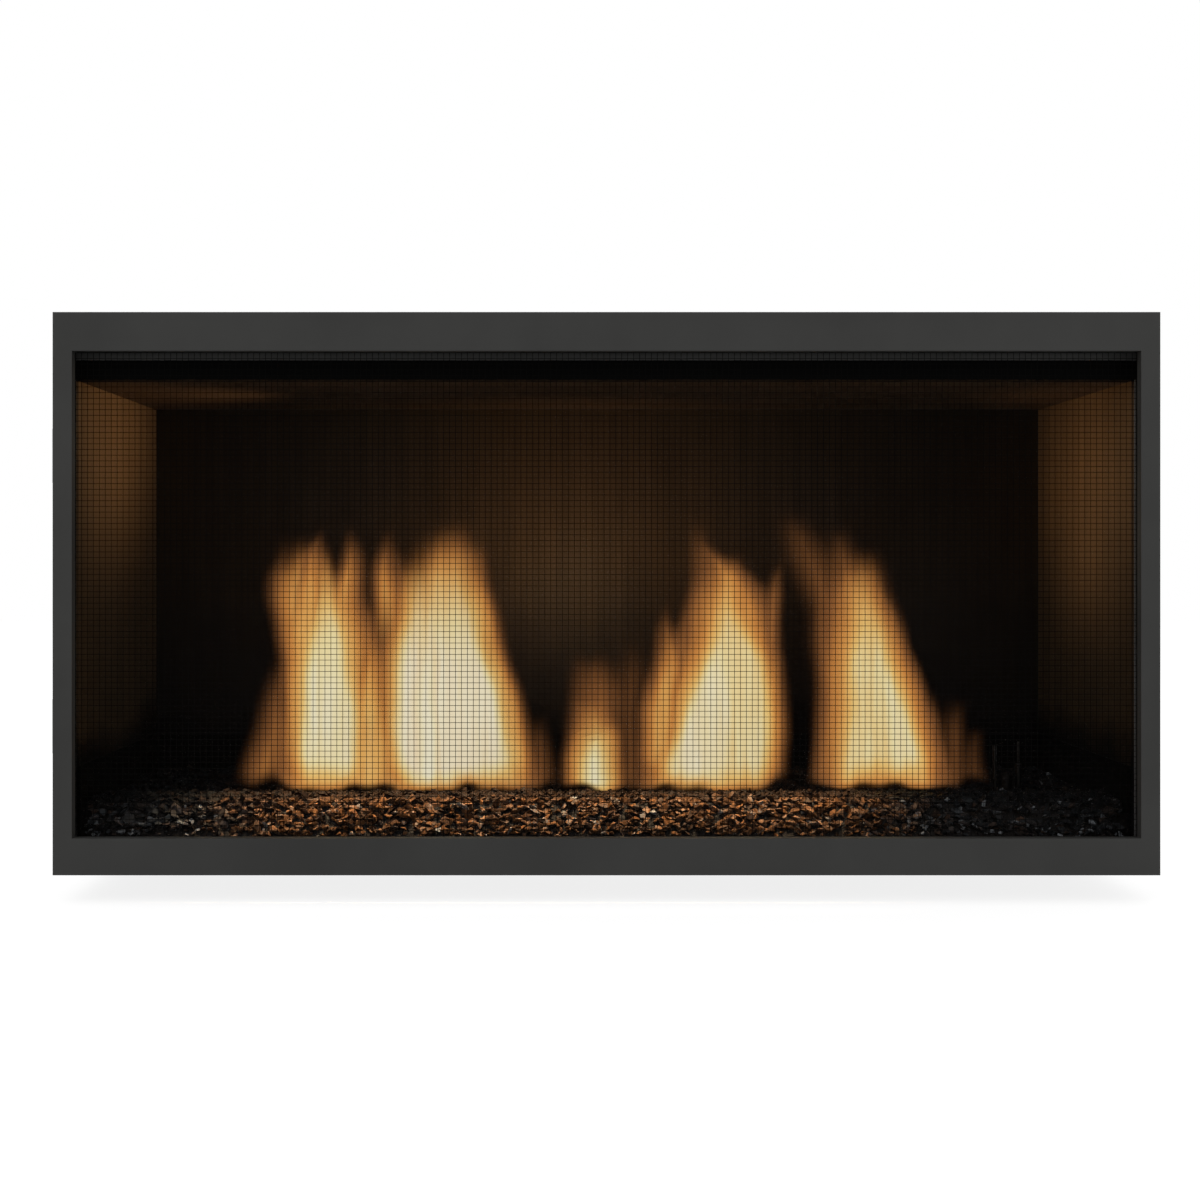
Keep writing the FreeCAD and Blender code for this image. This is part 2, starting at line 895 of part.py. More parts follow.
def vent_collar(outside, base_z, top_z):
    """Round collar on a round base flange."""
    base = at(0, flue_depth, base_z)
    up = Vector(0, 0, 1)
    flange = rod(base, up, outside + collar_flange, collar_flange_sheet)
    bore = rod(base - up * REACH_PAST, up, outside - collar_wall, top_z - base_z + 2 * REACH_PAST)
    return fuse([rod(base, up, outside, top_z - base_z), flange]).cut(bore)


def restrictor_plate():
    """Sliding plate under the flue hole."""
    half = restrictor_width / 2
    return block(
        restrictor_offset,
        restrictor_offset + restrictor_length,
        flue_depth - half,
        flue_depth + half,
        restrictor_z0,
        restrictor_z1,
    )


def restrictor_guides():
    """Folded rails under the firebox top that carry the restrictor plate's two edges."""
    web_reach = restrictor_width / 2 + restrictor_gap
    lip_z = restrictor_z0 - running_gap
    rails = []
    for side in BOTH_SIDES:
        path = [
            (flue_depth + side * (web_reach + guide_flange), firebox_top_in),
            (flue_depth + side * web_reach, firebox_top_in),
            (flue_depth + side * web_reach, lip_z),
            (flue_depth + side * (web_reach - guide_lip), lip_z),
        ]
        outline = folded(path, side * guide_sheet)
        rails.append(
            prism_x(outline, restrictor_offset - restrictor_travel, restrictor_offset + restrictor_length)
        )
    return group(rails)


def relief_flap(side):
    """Relief flap that lies over its port, with a knuckle on its rear edge."""
    x = side * flap_x
    rear = flap_hinge_depth - flap_seat_gap
    plate = block(
        x - flap_width / 2,
        x + flap_width / 2,
        flap_hinge_depth - flap_length,
        rear,
        flap_z0,
        flap_z0 + flap_sheet,
    )
    along = Vector(1, 0, 0)
    start = at(x - flap_knuckle_length / 2, flap_hinge_depth, flap_axis_z)
    knuckle = rod(start, along, flap_knuckle_radius, flap_knuckle_length)
    bore = rod(
        at(x - flap_width / 2, flap_hinge_depth, flap_axis_z),
        along,
        flap_pin_radius + flap_pin_clearance,
        flap_width,
    )
    return fuse([plate, knuckle]).cut(bore)


def flap_hinges():
    """Pins over the firebox top, each welded between its two ears."""
    hinges = []
    along = Vector(1, 0, 0)
    for side in BOTH_SIDES:
        x = side * flap_x
        reach = flap_ear_x + flap_ear_sheet / 2
        pieces = [rod(at(x - reach, flap_hinge_depth, flap_axis_z), along, flap_pin_radius, 2 * reach)]
        for ear_side in BOTH_SIDES:
            middle = x + ear_side * flap_ear_x
            pieces.append(
                block(
                    middle - flap_ear_sheet / 2,
                    middle + flap_ear_sheet / 2,
                    flap_hinge_depth - flap_ear_length / 2,
                    flap_hinge_depth + flap_ear_length / 2,
                    firebox_top_out,
                    flap_axis_z + flap_ear_over,
                )
            )
        hinges.append(fuse(pieces))
    return group(hinges)


# Glass door


def door_frame():
    """Folded door frame: a front flange, a rim round it and two tabs for the latch springs."""
    flange = rectangle_ring(
        door_half,
        door_z0,
        door_z1,
        door_open_half,
        door_open_z0,
        ceiling_z,
        door_front,
        gasket_front_depth,
    )
    rim = rectangle_ring(
        door_half,
        door_z0,
        door_z1,
        door_half - door_sheet,
        door_z0 + door_sheet,
        door_z1 - door_sheet,
        door_front,
        door_leg_back,
    )
    pieces = [flange, rim]
    for side in BOTH_SIDES:
        x = side * latch_x
        pieces.append(
            block(
                x - latch_tab_width / 2,
                x + latch_tab_width / 2,
                latch_tab_front,
                latch_tab_back,
                latch_tab_z0,
                door_z0,
            )
        )
    return fuse(pieces)


def door_glass():
    """Ceramic glass pane."""
    edge = door_sheet + seat_gap + glass_edge_gap
    half = door_half - edge
    return block(-half, half, glass_front, glass_back, door_z0 + edge, door_z1 - edge)


def glass_gasket():
    """Woven seal of U section round the pane's edge."""
    inner_half = gasket_half - gasket_leg
    inner_z0 = gasket_z0 + gasket_leg
    inner_z1 = gasket_z1 - gasket_leg
    whole = rectangle_ring(
        gasket_half, gasket_z0, gasket_z1, inner_half, inner_z0, inner_z1, gasket_front_depth, door_back
    )
    pane_half = gasket_half - glass_edge_gap
    pane = block(
        -pane_half, pane_half, glass_front, glass_back, gasket_z0 + glass_edge_gap, gasket_z1 - glass_edge_gap
    )
    return whole.cut(pane)


def door_hooks():
    """Two folded hooks on the door's top that hang over the header."""
    over_z = header_z1 + hook_clearance
    drop_depth = mouth_back + hook_slot
    path = [
        (door_front + hook_sheet, door_z1),
        (door_leg_back, door_z1),
        (door_leg_back, over_z),
        (drop_depth, over_z),
        (drop_depth, over_z - hook_leg),
    ]
    outline = folded(path, hook_sheet)
    return group(
        [
            prism_x(outline, side * hook_x - hook_width / 2, side * hook_x + hook_width / 2)
            for side in BOTH_SIDES
        ]
    )


def door_latch_springs():
    """Leaf springs on the sill that hook the door's tabs and pull it shut."""
    hook_back = latch_tab_front - latch_gap
    under_z = latch_tab_z0 - latch_gap
    foot_front = latch_foot_depth - latch_foot_length
    path = [
        (latch_foot_depth, sill_z1),
        (foot_front, sill_z1),
        (latch_tab_back, under_z - latch_sheet),
        (hook_back - latch_sheet, under_z - latch_sheet),
        (hook_back - latch_sheet, door_z0 - latch_gap),
    ]
    outline = folded(path, -latch_sheet)
    return group(
        [
            prism_x(outline, side * latch_x - latch_width / 2, side * latch_x + latch_width / 2)
            for side in BOTH_SIDES
        ]
    )


# Burner and media


def burner():
    """Flat burner box with a row of slot ports, an inlet underneath and a foot at each end."""
    shell = block(-burner_half, burner_half, burner_front, burner_back, deck_z, burner_z1)
    hollow = block(
        -burner_half + burner_wall,
        burner_half - burner_wall,
        burner_front + burner_wall,
        burner_back - burner_wall,
        deck_z + burner_wall,
        burner_z1 - burner_wall,
    )
    pieces = [shell.cut(hollow)]
    for side in BOTH_SIDES:
        x0 = min(side * burner_half, side * (burner_half + burner_foot))
        pieces.append(block(x0, x0 + burner_foot, burner_front, burner_back, deck_z, deck_z + burner_wall))
    box = fuse(pieces)
    cuts = [rod(at(venturi_x, burner_depth, deck_z - REACH_PAST), Vector(0, 0, 1), venturi_inside, burner_height / 2)]
    for x in spread(burner_port_count, burner_port_pitch * (burner_port_count - 1) / 2):
        cuts.append(
            block(
                x - burner_port_length / 2,
                x + burner_port_length / 2,
                burner_depth - burner_port_width / 2,
                burner_depth + burner_port_width / 2,
                burner_z1 - burner_height / 2,
                burner_z1 + REACH_PAST,
            )
        )
    return box.cut(cuts)


def glass_media():
    """Bed of crushed glass: a bank behind the pane, a rounded crest and a level over the burner."""
    cover_z = burner_z1 + media_cover
    toe_z = shelf_z + media_toe
    slope_top = (media_crest_depth - burner_width / 2, media_crest_z - media_cover)
    crest_end = (media_crest_depth + burner_width / 2, media_crest_z - media_cover)
    edges = []
    corners = [
        crest_end,
        (burner_front, cover_z),
        (burner_back, cover_z),
        (media_back, deck_z + burner_height + media_back_cover),
        (media_back, deck_z),
        (deck_front, deck_z),
        (deck_front, shelf_z),
        (media_front, shelf_z),
        (media_front, toe_z),
        slope_top,
    ]
    places = [at(-media_half, d, z) for d, z in corners]
    for start, end in zip(places, places[1:]):
        edges.append(Part.LineSegment(start, end).toShape())
    crest = at(-media_half, media_crest_depth, media_crest_z)
    edges.append(Part.Arc(places[-1], crest, places[0]).toShape())
    bed = Part.Face(Part.Wire(edges)).extrude(Vector(2 * media_half, 0, 0))
    foot = burner_half + burner_foot
    pocket_x = pilot_plate_length / 2 + pilot_pocket_margin
    pocket_d = pilot_plate_width / 2 + pilot_pocket_margin
    sunk = [
        block(-burner_half, burner_half, burner_front, burner_back, deck_z, burner_z1),
        block(-foot, foot, burner_front, burner_back, deck_z, deck_z + burner_wall),
        block(
            pilot_x - pocket_x,
            pilot_x + pocket_x,
            pilot_depth - pocket_d,
            pilot_depth + pocket_d,
            deck_z,
            media_crest_z + REACH_PAST,
        ),
    ]
    return bed.cut(sunk)


def pilot_burner():
    """Pilot plate with its hooded burner, open towards the main burner."""
    plate = block(
        pilot_x - pilot_plate_length / 2,
        pilot_x + pilot_plate_length / 2,
        pilot_depth - pilot_plate_width / 2,
        pilot_depth + pilot_plate_width / 2,
        deck_z,
        pilot_plate_z,
    )
    up = Vector(0, 0, 1)
    base = at(pilot_x, pilot_depth, pilot_plate_z)
    hood = rod(base, up, pilot_hood_radius, pilot_hood_height)
    top_edges = [edge for edge in hood.Edges if edge.BoundBox.ZMin > pilot_plate_z + pilot_hood_height / 2]
    hood = hood.makeChamfer(pilot_hood_radius / 3, top_edges)
    mouth = block(
        pilot_x - 2 * pilot_hood_radius,
        pilot_x + pilot_hood_radius / 3,
        pilot_depth - pilot_hood_radius / 2,
        pilot_depth + pilot_hood_radius / 2,
        pilot_plate_z + pilot_hood_height / 2,
        pilot_plate_z + pilot_hood_height * 0.85,
    )
    return fuse([plate, hood]).cut(mouth)


def spark_electrode():
    """Ceramic sleeve with the spark rod standing out of it."""
    up = Vector(0, 0, 1)
    base = at(pilot_x + pilot_spacing, pilot_depth, pilot_plate_z)
    sleeve = rod(base, up, electrode_radius, electrode_insulator)
    return fuse([sleeve, rod(base, up, electrode_rod_radius, electrode_height)])


def flame_sensor():
    """Flame sensing rod with its lock nut."""
    up = Vector(0, 0, 1)
    base = at(pilot_x - pilot_spacing, pilot_depth, pilot_plate_z)
    nut = hexagon(base, up, sensor_nut_radius, sensor_nut)
    return fuse([nut, rod(base, up, sensor_radius, sensor_height)])


# Venturi and air shutter


def air_window(reach):
    """Bar that cuts the two air windows at the mouth of the venturi."""
    half = air_window_size / 2
    return block(
        air_window_x,
        air_window_x + air_window_size,
        burner_depth - reach,
        burner_depth + reach,
        venturi_z - half,
        venturi_z + half,
    )


def burner_venturi():
    """Mixing tube: down through the deck, round a mitred elbow and along to its air windows."""
    points = [
        at(venturi_x, burner_depth, deck_z),
        at(venturi_x, burner_depth, venturi_z),
        at(venturi_end_x, burner_depth, venturi_z),
    ]
    tube = mitred_tube(points, venturi_radius).cut(mitred_tube(points, venturi_inside))
    return tube.cut(air_window(venturi_radius + REACH_PAST))


def air_shutter():
    """Turning sleeve over the air windows, with a lever."""
    along = Vector(1, 0, 0)
    x0 = air_window_x + air_window_size / 2 - shutter_length / 2
    sleeve = pipe(at(x0, burner_depth, venturi_z), along, shutter_outside, shutter_inside, shutter_length)
    sleeve = sleeve.cut(air_window(shutter_outside + REACH_PAST))
    rim_x = x0 + shutter_length
    rim = (shutter_length - air_window_size) / 2
    lever = block(
        rim_x - rim,
        rim_x,
        burner_depth - shutter_lever_width / 2,
        burner_depth + shutter_lever_width / 2,
        venturi_z + shutter_inside + shutter_wall / 2,
        venturi_z + shutter_outside + shutter_lever,
    )
    return fuse([sleeve, lever])


def orifice_holder():
    """Square plate that closes the venturi's mouth, with a hexagonal boss for the supply tube."""
    back_x = venturi_end_x - holder_plate
    half = shutter_outside
    plate = block(
        back_x, venturi_end_x, burner_depth - half, burner_depth + half, venturi_z - half, venturi_z + half
    )
    start = at(back_x - holder_boss, burner_depth, venturi_z)
    return fuse([plate, hexagon(start, Vector(1, 0, 0), holder_boss_radius, holder_boss)])


def gas_orifice():
    """Brass orifice spud on the holder, inside the venturi's mouth."""
    along = Vector(1, 0, 0)
    body = hexagon(at(venturi_end_x, burner_depth, venturi_z), along, orifice_hex, orifice_length)
    nose_start = at(venturi_end_x + orifice_length, burner_depth, venturi_z)
    nose = hexagon(nose_start, along, orifice_radius, orifice_nose)
    return fuse([body, nose])


# Gas train


def supply_tube():
    """Tube from the valve to the orifice holder."""
    points = [
        at(venturi_end_x - holder_plate - holder_boss, burner_depth, venturi_z),
        at(supply_loop_x, burner_depth, venturi_z),
        at(supply_loop_x, gas_line_depth, gas_line_z),
        at(valve_left - valve_boss, gas_line_depth, gas_line_z),
    ]
    return mitred_tube(points, supply_radius)


def knob_places():
    """Side-to-side places of the two knobs on the valve."""
    return [valve_x - knob_offset, valve_x + knob_offset]


def gas_valve():
    """Cast valve body with inlet and outlet bosses, a coil cap and two knob stems."""
    body = block(valve_left, valve_right, valve_front, valve_rear, valve_z0, valve_z1)
    body = chamfered_uprights(body, valve_height, valve_edge_chamfer)
    along = Vector(1, 0, 0)
    pieces = [
        body,
        hexagon(at(valve_left - valve_boss, gas_line_depth, gas_line_z), along, valve_boss_radius, valve_boss),
        hexagon(at(valve_right, gas_line_depth, gas_line_z), along, valve_boss_radius, valve_boss),
        rod(at(valve_x, gas_line_depth, valve_z1), Vector(0, 0, 1), valve_coil_radius, valve_coil_height),
    ]
    for x in knob_places():
        pieces.append(rod(at(x, valve_front, gas_line_z), Vector(0, -1, 0), valve_stem_radius, valve_stem))
    return fuse(pieces)


def valve_bracket():
    """Hat bracket that carries the valve on the pan."""
    half = valve_width / 2 - bracket_foot / 2
    crown = valve_z0 - bracket_sheet
    path = [
        (gas_line_depth - half - bracket_foot, pan_floor),
        (gas_line_depth - half, pan_floor),
        (gas_line_depth - half, crown),
        (gas_line_depth + half, crown),
        (gas_line_depth + half, pan_floor),
        (gas_line_depth + half + bracket_foot, pan_floor),
    ]
    return prism_x(folded(path, bracket_sheet), valve_left + bracket_foot, valve_right - bracket_foot)


def knob(x, radius):
    """Many-sided knob with a grip bar, bored for the valve's stem."""
    forward = Vector(0, -1, 0)
    turns = [2 * math.pi * side / knob_sides for side in range(knob_sides)]
    outline = [(x + radius * math.cos(turn), gas_line_z + radius * math.sin(turn)) for turn in turns]
    grip_half = radius * math.cos(math.pi / knob_sides)
    grip = block(
        x - knob_grip_width / 2,
        x + knob_grip_width / 2,
        knob_front - knob_grip_height,
        knob_front,
        gas_line_z - grip_half,
        gas_line_z + grip_half,
    )
    bore = rod(
        at(x, knob_back + REACH_PAST, gas_line_z),
        forward,
        valve_stem_radius + knob_bore_clearance,
        REACH_PAST + valve_stem - knob_gap + running_gap,
    )
    return fuse([prism_y(outline, knob_front, knob_back), grip]).cut(bore)


def gas_knob():
    """Main gas control knob."""
    return knob(knob_places()[0], gas_knob_radius)


def flame_knob():
    """Flame height knob."""
    return knob(knob_places()[1], flame_knob_radius)


def inlet_pipe():
    """Straight pipe from the shut-off valve to the gas valve."""
    start_x = valve_right + valve_boss
    start = at(start_x, gas_line_depth, gas_line_z)
    return rod(start, Vector(1, 0, 0), inlet_radius, shutoff_left - start_x)


def shutoff_valve():
    """Ball valve with a threaded inlet and a stem for its lever."""
    along = Vector(1, 0, 0)
    body = fuse(
        [
            hexagon(at(shutoff_left, gas_line_depth, gas_line_z), along, shutoff_hex_radius, shutoff_length),
            rod(at(shutoff_x, gas_line_depth, gas_line_z), Vector(0, 0, 1), shutoff_stem_radius, shutoff_stem),
        ]
    )
    start = at(shutoff_right - inlet_bore_length, gas_line_depth, gas_line_z)
    return body.cut(rod(start, along, inlet_bore_radius, inlet_bore_length + REACH_PAST))


def shutoff_lever():
    """Quarter-turn lever, lying along the pipe while the gas is open."""
    base_z = shutoff_stem_z + seat_gap
    hub = rod(at(shutoff_x, gas_line_depth, base_z), Vector(0, 0, 1), lever_hub_radius, lever_sheet)
    bar = block(
        shutoff_x - lever_length,
        shutoff_x,
        gas_line_depth - lever_width / 2,
        gas_line_depth + lever_width / 2,
        base_z,
        base_z + lever_sheet,
    )
    return fuse([hub, bar])


def pilot_line():
    """Thin tube from the valve to the pilot."""
    points = [
        at(valve_x, valve_rear, gas_line_z),
        at(valve_x, pilot_line_run_depth, gas_line_z),
        at(valve_x, pilot_line_run_depth, pilot_line_rise),
        at(pilot_x, pilot_line_run_depth, pilot_line_rise),
        at(pilot_x, pilot_depth, pilot_line_rise),
        at(pilot_x, pilot_depth, deck_z),
    ]
    return mitred_tube(points, pilot_line_radius)


# Ignition module


def ignition_module():
    """Closed control box with a pocket for the rocker switch."""
    box = block(
        module_x - module_length / 2,
        module_x + module_length / 2,
        module_depth,
        module_depth + module_width,
        pan_floor,
        pan_floor + module_height,
    )
    box = chamfered_uprights(box, module_height, module_edge_chamfer)
    half_x = switch_length / 2 + switch_side_gap
    half_z = switch_height / 2 + 3 * switch_side_gap
    pocket = block(
        module_x - half_x,
        module_x + half_x,
        module_depth - REACH_PAST,
        switch_depth + switch_rear,
        switch_z - half_z,
        switch_z + half_z,
    )
    reach = half_x + switch_trunnion
    trunnion_hole = rod(
        at(module_x - reach, switch_depth, switch_z),
        Vector(1, 0, 0),
        switch_trunnion_radius + seat_gap,
        2 * reach,
    )
    return box.cut(pocket).cut(trunnion_hole)


def rocker_switch():
    """Rocker on two trunnions, resting tilted to on."""
    half_z = switch_height / 2
    outline = [
        (switch_depth - switch_reach + switch_crown, switch_z - half_z),
        (switch_depth + switch_side_gap, switch_z - half_z / 2),
        (switch_depth + switch_side_gap, switch_z + half_z / 2),
        (switch_depth - switch_reach + switch_crown, switch_z + half_z),
        (switch_depth - switch_reach, switch_z),
    ]
    half_x = switch_length / 2
    paddle = prism_x(outline, module_x - half_x, module_x + half_x)
    reach = half_x + switch_trunnion
    trunnion = rod(
        at(module_x - reach, switch_depth, switch_z), Vector(1, 0, 0), switch_trunnion_radius, 2 * reach
    )
    rocker = fuse([paddle, trunnion])
    rocker.rotate(at(module_x, switch_depth, switch_z), Vector(1, 0, 0), switch_rest_tilt)
    return rocker


def parts():
    """Every node's name and its shape."""
    return {
        "surround_trim": surround_trim(),
        "screen_mesh": screen_mesh(),
        "screen_retainer": screen_retainer(),
        "barrier_tabs": barrier_tabs(),
        "barrier_clips": barrier_clips(),
        "heat_lintel": heat_lintel(),
        "front_sill": front_sill(),
        "casing_left": casing_side(-1),
        "casing_right": casing_side(1),
        "casing_top": casing_top(),
        "casing_back": casing_back(),
        "base_pan": base_pan(),
        "base_skids": base_skids(),
        "nailing_flanges": nailing_flanges(),
        "top_standoffs": top_standoffs(),
        "firebox_left": firebox_side(-1),
        "firebox_right": firebox_side(1),
        "firebox_back": firebox_back(),
        "firebox_top": firebox_top(),
        "firebox_header": firebox_header(),
        "firebox_floor": firebox_floor(),
        "liner_left": liner(-1),
        "liner_right": liner(1),
        "liner_back": liner_back(),
        "media_skirt": media_skirt(),
        "ceiling_baffle": ceiling_baffle(),
        "flue_inner_collar": vent_collar(inner_collar_radius, firebox_top_out, inner_collar_top),
        "flue_outer_collar": vent_collar(outer_collar_radius, casing_z1, outer_collar_top),
        "restrictor_plate": restrictor_plate(),
        "restrictor_guides": restrictor_guides(),
        "relief_flap_left": relief_flap(-1),
        "relief_flap_right": relief_flap(1),
        "flap_hinges": flap_hinges(),
        "door_frame": door_frame(),
        "door_glass": door_glass(),
        "glass_gasket": glass_gasket(),
        "door_hooks": door_hooks(),
        "door_latch_springs": door_latch_springs(),
        "burner": burner(),
        "glass_media": glass_media(),
        "pilot_burner": pilot_burner(),
        "spark_electrode": spark_electrode(),
        "flame_sensor": flame_sensor(),
        "burner_venturi": burner_venturi(),
        "air_shutter": air_shutter(),
        "orifice_holder": orifice_holder(),
        "gas_orifice": gas_orifice(),
        "supply_tube": supply_tube(),
        "gas_valve": gas_valve(),
        "valve_bracket": valve_bracket(),
        "gas_knob": gas_knob(),
        "flame_knob": flame_knob(),
        "inlet_pipe": inlet_pipe(),
        "shutoff_valve": shutoff_valve(),
        "shutoff_lever": shutoff_lever(),
        "pilot_line": pilot_line(),
        "ignition_module": ignition_module(),
        "rocker_switch": rocker_switch(),
    }


def main():
    """Writes one STEP file per node."""
    os.makedirs("parts", exist_ok=True)
    for name, shape in parts().items():
        shape.exportStep(os.path.join("parts", name + ".step"))


if __name__ == "__main__":
    main()
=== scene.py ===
"""Dresses the linear gas fireplace: finishes, woven screen, crushed glass, flames and a plain studio.

Lengths are in metres where a docstring doesn't say millimetres.
"""

from __future__ import annotations

import logging
import math
from collections.abc import Sequence
from dataclasses import dataclass, field
from enum import Enum

import bmesh
import bpy
import numpy as np
from mathutils import Euler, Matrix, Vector

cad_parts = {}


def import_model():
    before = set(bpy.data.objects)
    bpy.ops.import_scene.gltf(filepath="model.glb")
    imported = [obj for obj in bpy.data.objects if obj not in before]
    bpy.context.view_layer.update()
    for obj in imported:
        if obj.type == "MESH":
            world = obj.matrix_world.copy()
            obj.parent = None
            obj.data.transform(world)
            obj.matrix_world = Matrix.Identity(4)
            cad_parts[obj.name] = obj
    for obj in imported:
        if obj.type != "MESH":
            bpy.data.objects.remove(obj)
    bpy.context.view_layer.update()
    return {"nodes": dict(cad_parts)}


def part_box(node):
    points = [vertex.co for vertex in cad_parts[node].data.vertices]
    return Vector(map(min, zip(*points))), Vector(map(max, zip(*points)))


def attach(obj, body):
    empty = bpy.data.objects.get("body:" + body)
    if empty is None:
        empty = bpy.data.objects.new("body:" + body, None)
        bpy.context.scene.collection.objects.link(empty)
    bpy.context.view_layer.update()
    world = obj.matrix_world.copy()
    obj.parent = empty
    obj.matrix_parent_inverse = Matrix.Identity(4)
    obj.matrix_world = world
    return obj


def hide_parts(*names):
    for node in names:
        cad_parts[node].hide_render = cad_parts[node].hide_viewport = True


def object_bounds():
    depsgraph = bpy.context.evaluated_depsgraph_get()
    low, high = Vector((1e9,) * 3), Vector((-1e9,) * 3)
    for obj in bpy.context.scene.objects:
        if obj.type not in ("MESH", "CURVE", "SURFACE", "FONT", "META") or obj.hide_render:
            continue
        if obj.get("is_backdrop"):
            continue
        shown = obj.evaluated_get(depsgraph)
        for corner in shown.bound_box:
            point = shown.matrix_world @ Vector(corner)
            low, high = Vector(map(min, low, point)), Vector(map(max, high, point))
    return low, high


LOG = logging.getLogger("fireplace")
MM = 0.001
Colour = tuple[float, float, float]
OCTAVE_SHARE = 0.55


class Body(str, Enum):
    """Bodies of the frame that new pieces ride on."""

    UNIT = "unit"
    BARRIER = "barrier"


class Axis(Enum):
    """Directions that a wire of the screen runs in."""

    UPRIGHT = "upright"
    LEVEL = "level"


def grey(level: float) -> Colour:
    """A neutral colour of that level."""
    return (level, level, level)


def scaled(colour: Colour, factor: float) -> Colour:
    """A colour with each of its parts multiplied by a factor."""
    return tuple(part * factor for part in colour)


def seen(tree: bpy.types.NodeTree) -> bpy.types.NodeSocket:
    """Tell what is looked at, straight, mirrored or through glass, from what only lights the scene.

    Args:
        tree: The node tree that gets the test.

    Returns:
        A socket with 1 for a ray that is looked along and 0 for any other.
    """
    ray = tree.nodes.new("ShaderNodeLightPath")
    socket = ray.outputs["Is Camera Ray"]
    for way in ("Is Glossy Ray", "Is Transmission Ray"):
        larger = tree.nodes.new("ShaderNodeMath")
        larger.operation = "MAXIMUM"
        tree.links.new(socket, larger.inputs[0])
        tree.links.new(ray.outputs[way], larger.inputs[1])
        socket = larger.outputs[0]
    return socket


def hang(lamp: bpy.types.Light, place: Vector, aim: Vector) -> bpy.types.Object:
    """Put a lamp in the scene.

    Args:
        lamp: The lamp.
        place: Where it hangs, in metres.
        aim: The point that it faces, in metres.

    Returns:
        The object that holds it.
    """
    holder = bpy.data.objects.new(lamp.name, lamp)
    holder.location = place
    holder.rotation_euler = (aim - place).to_track_quat("-Z", "Y").to_euler()
    bpy.context.scene.collection.objects.link(holder)
    return holder


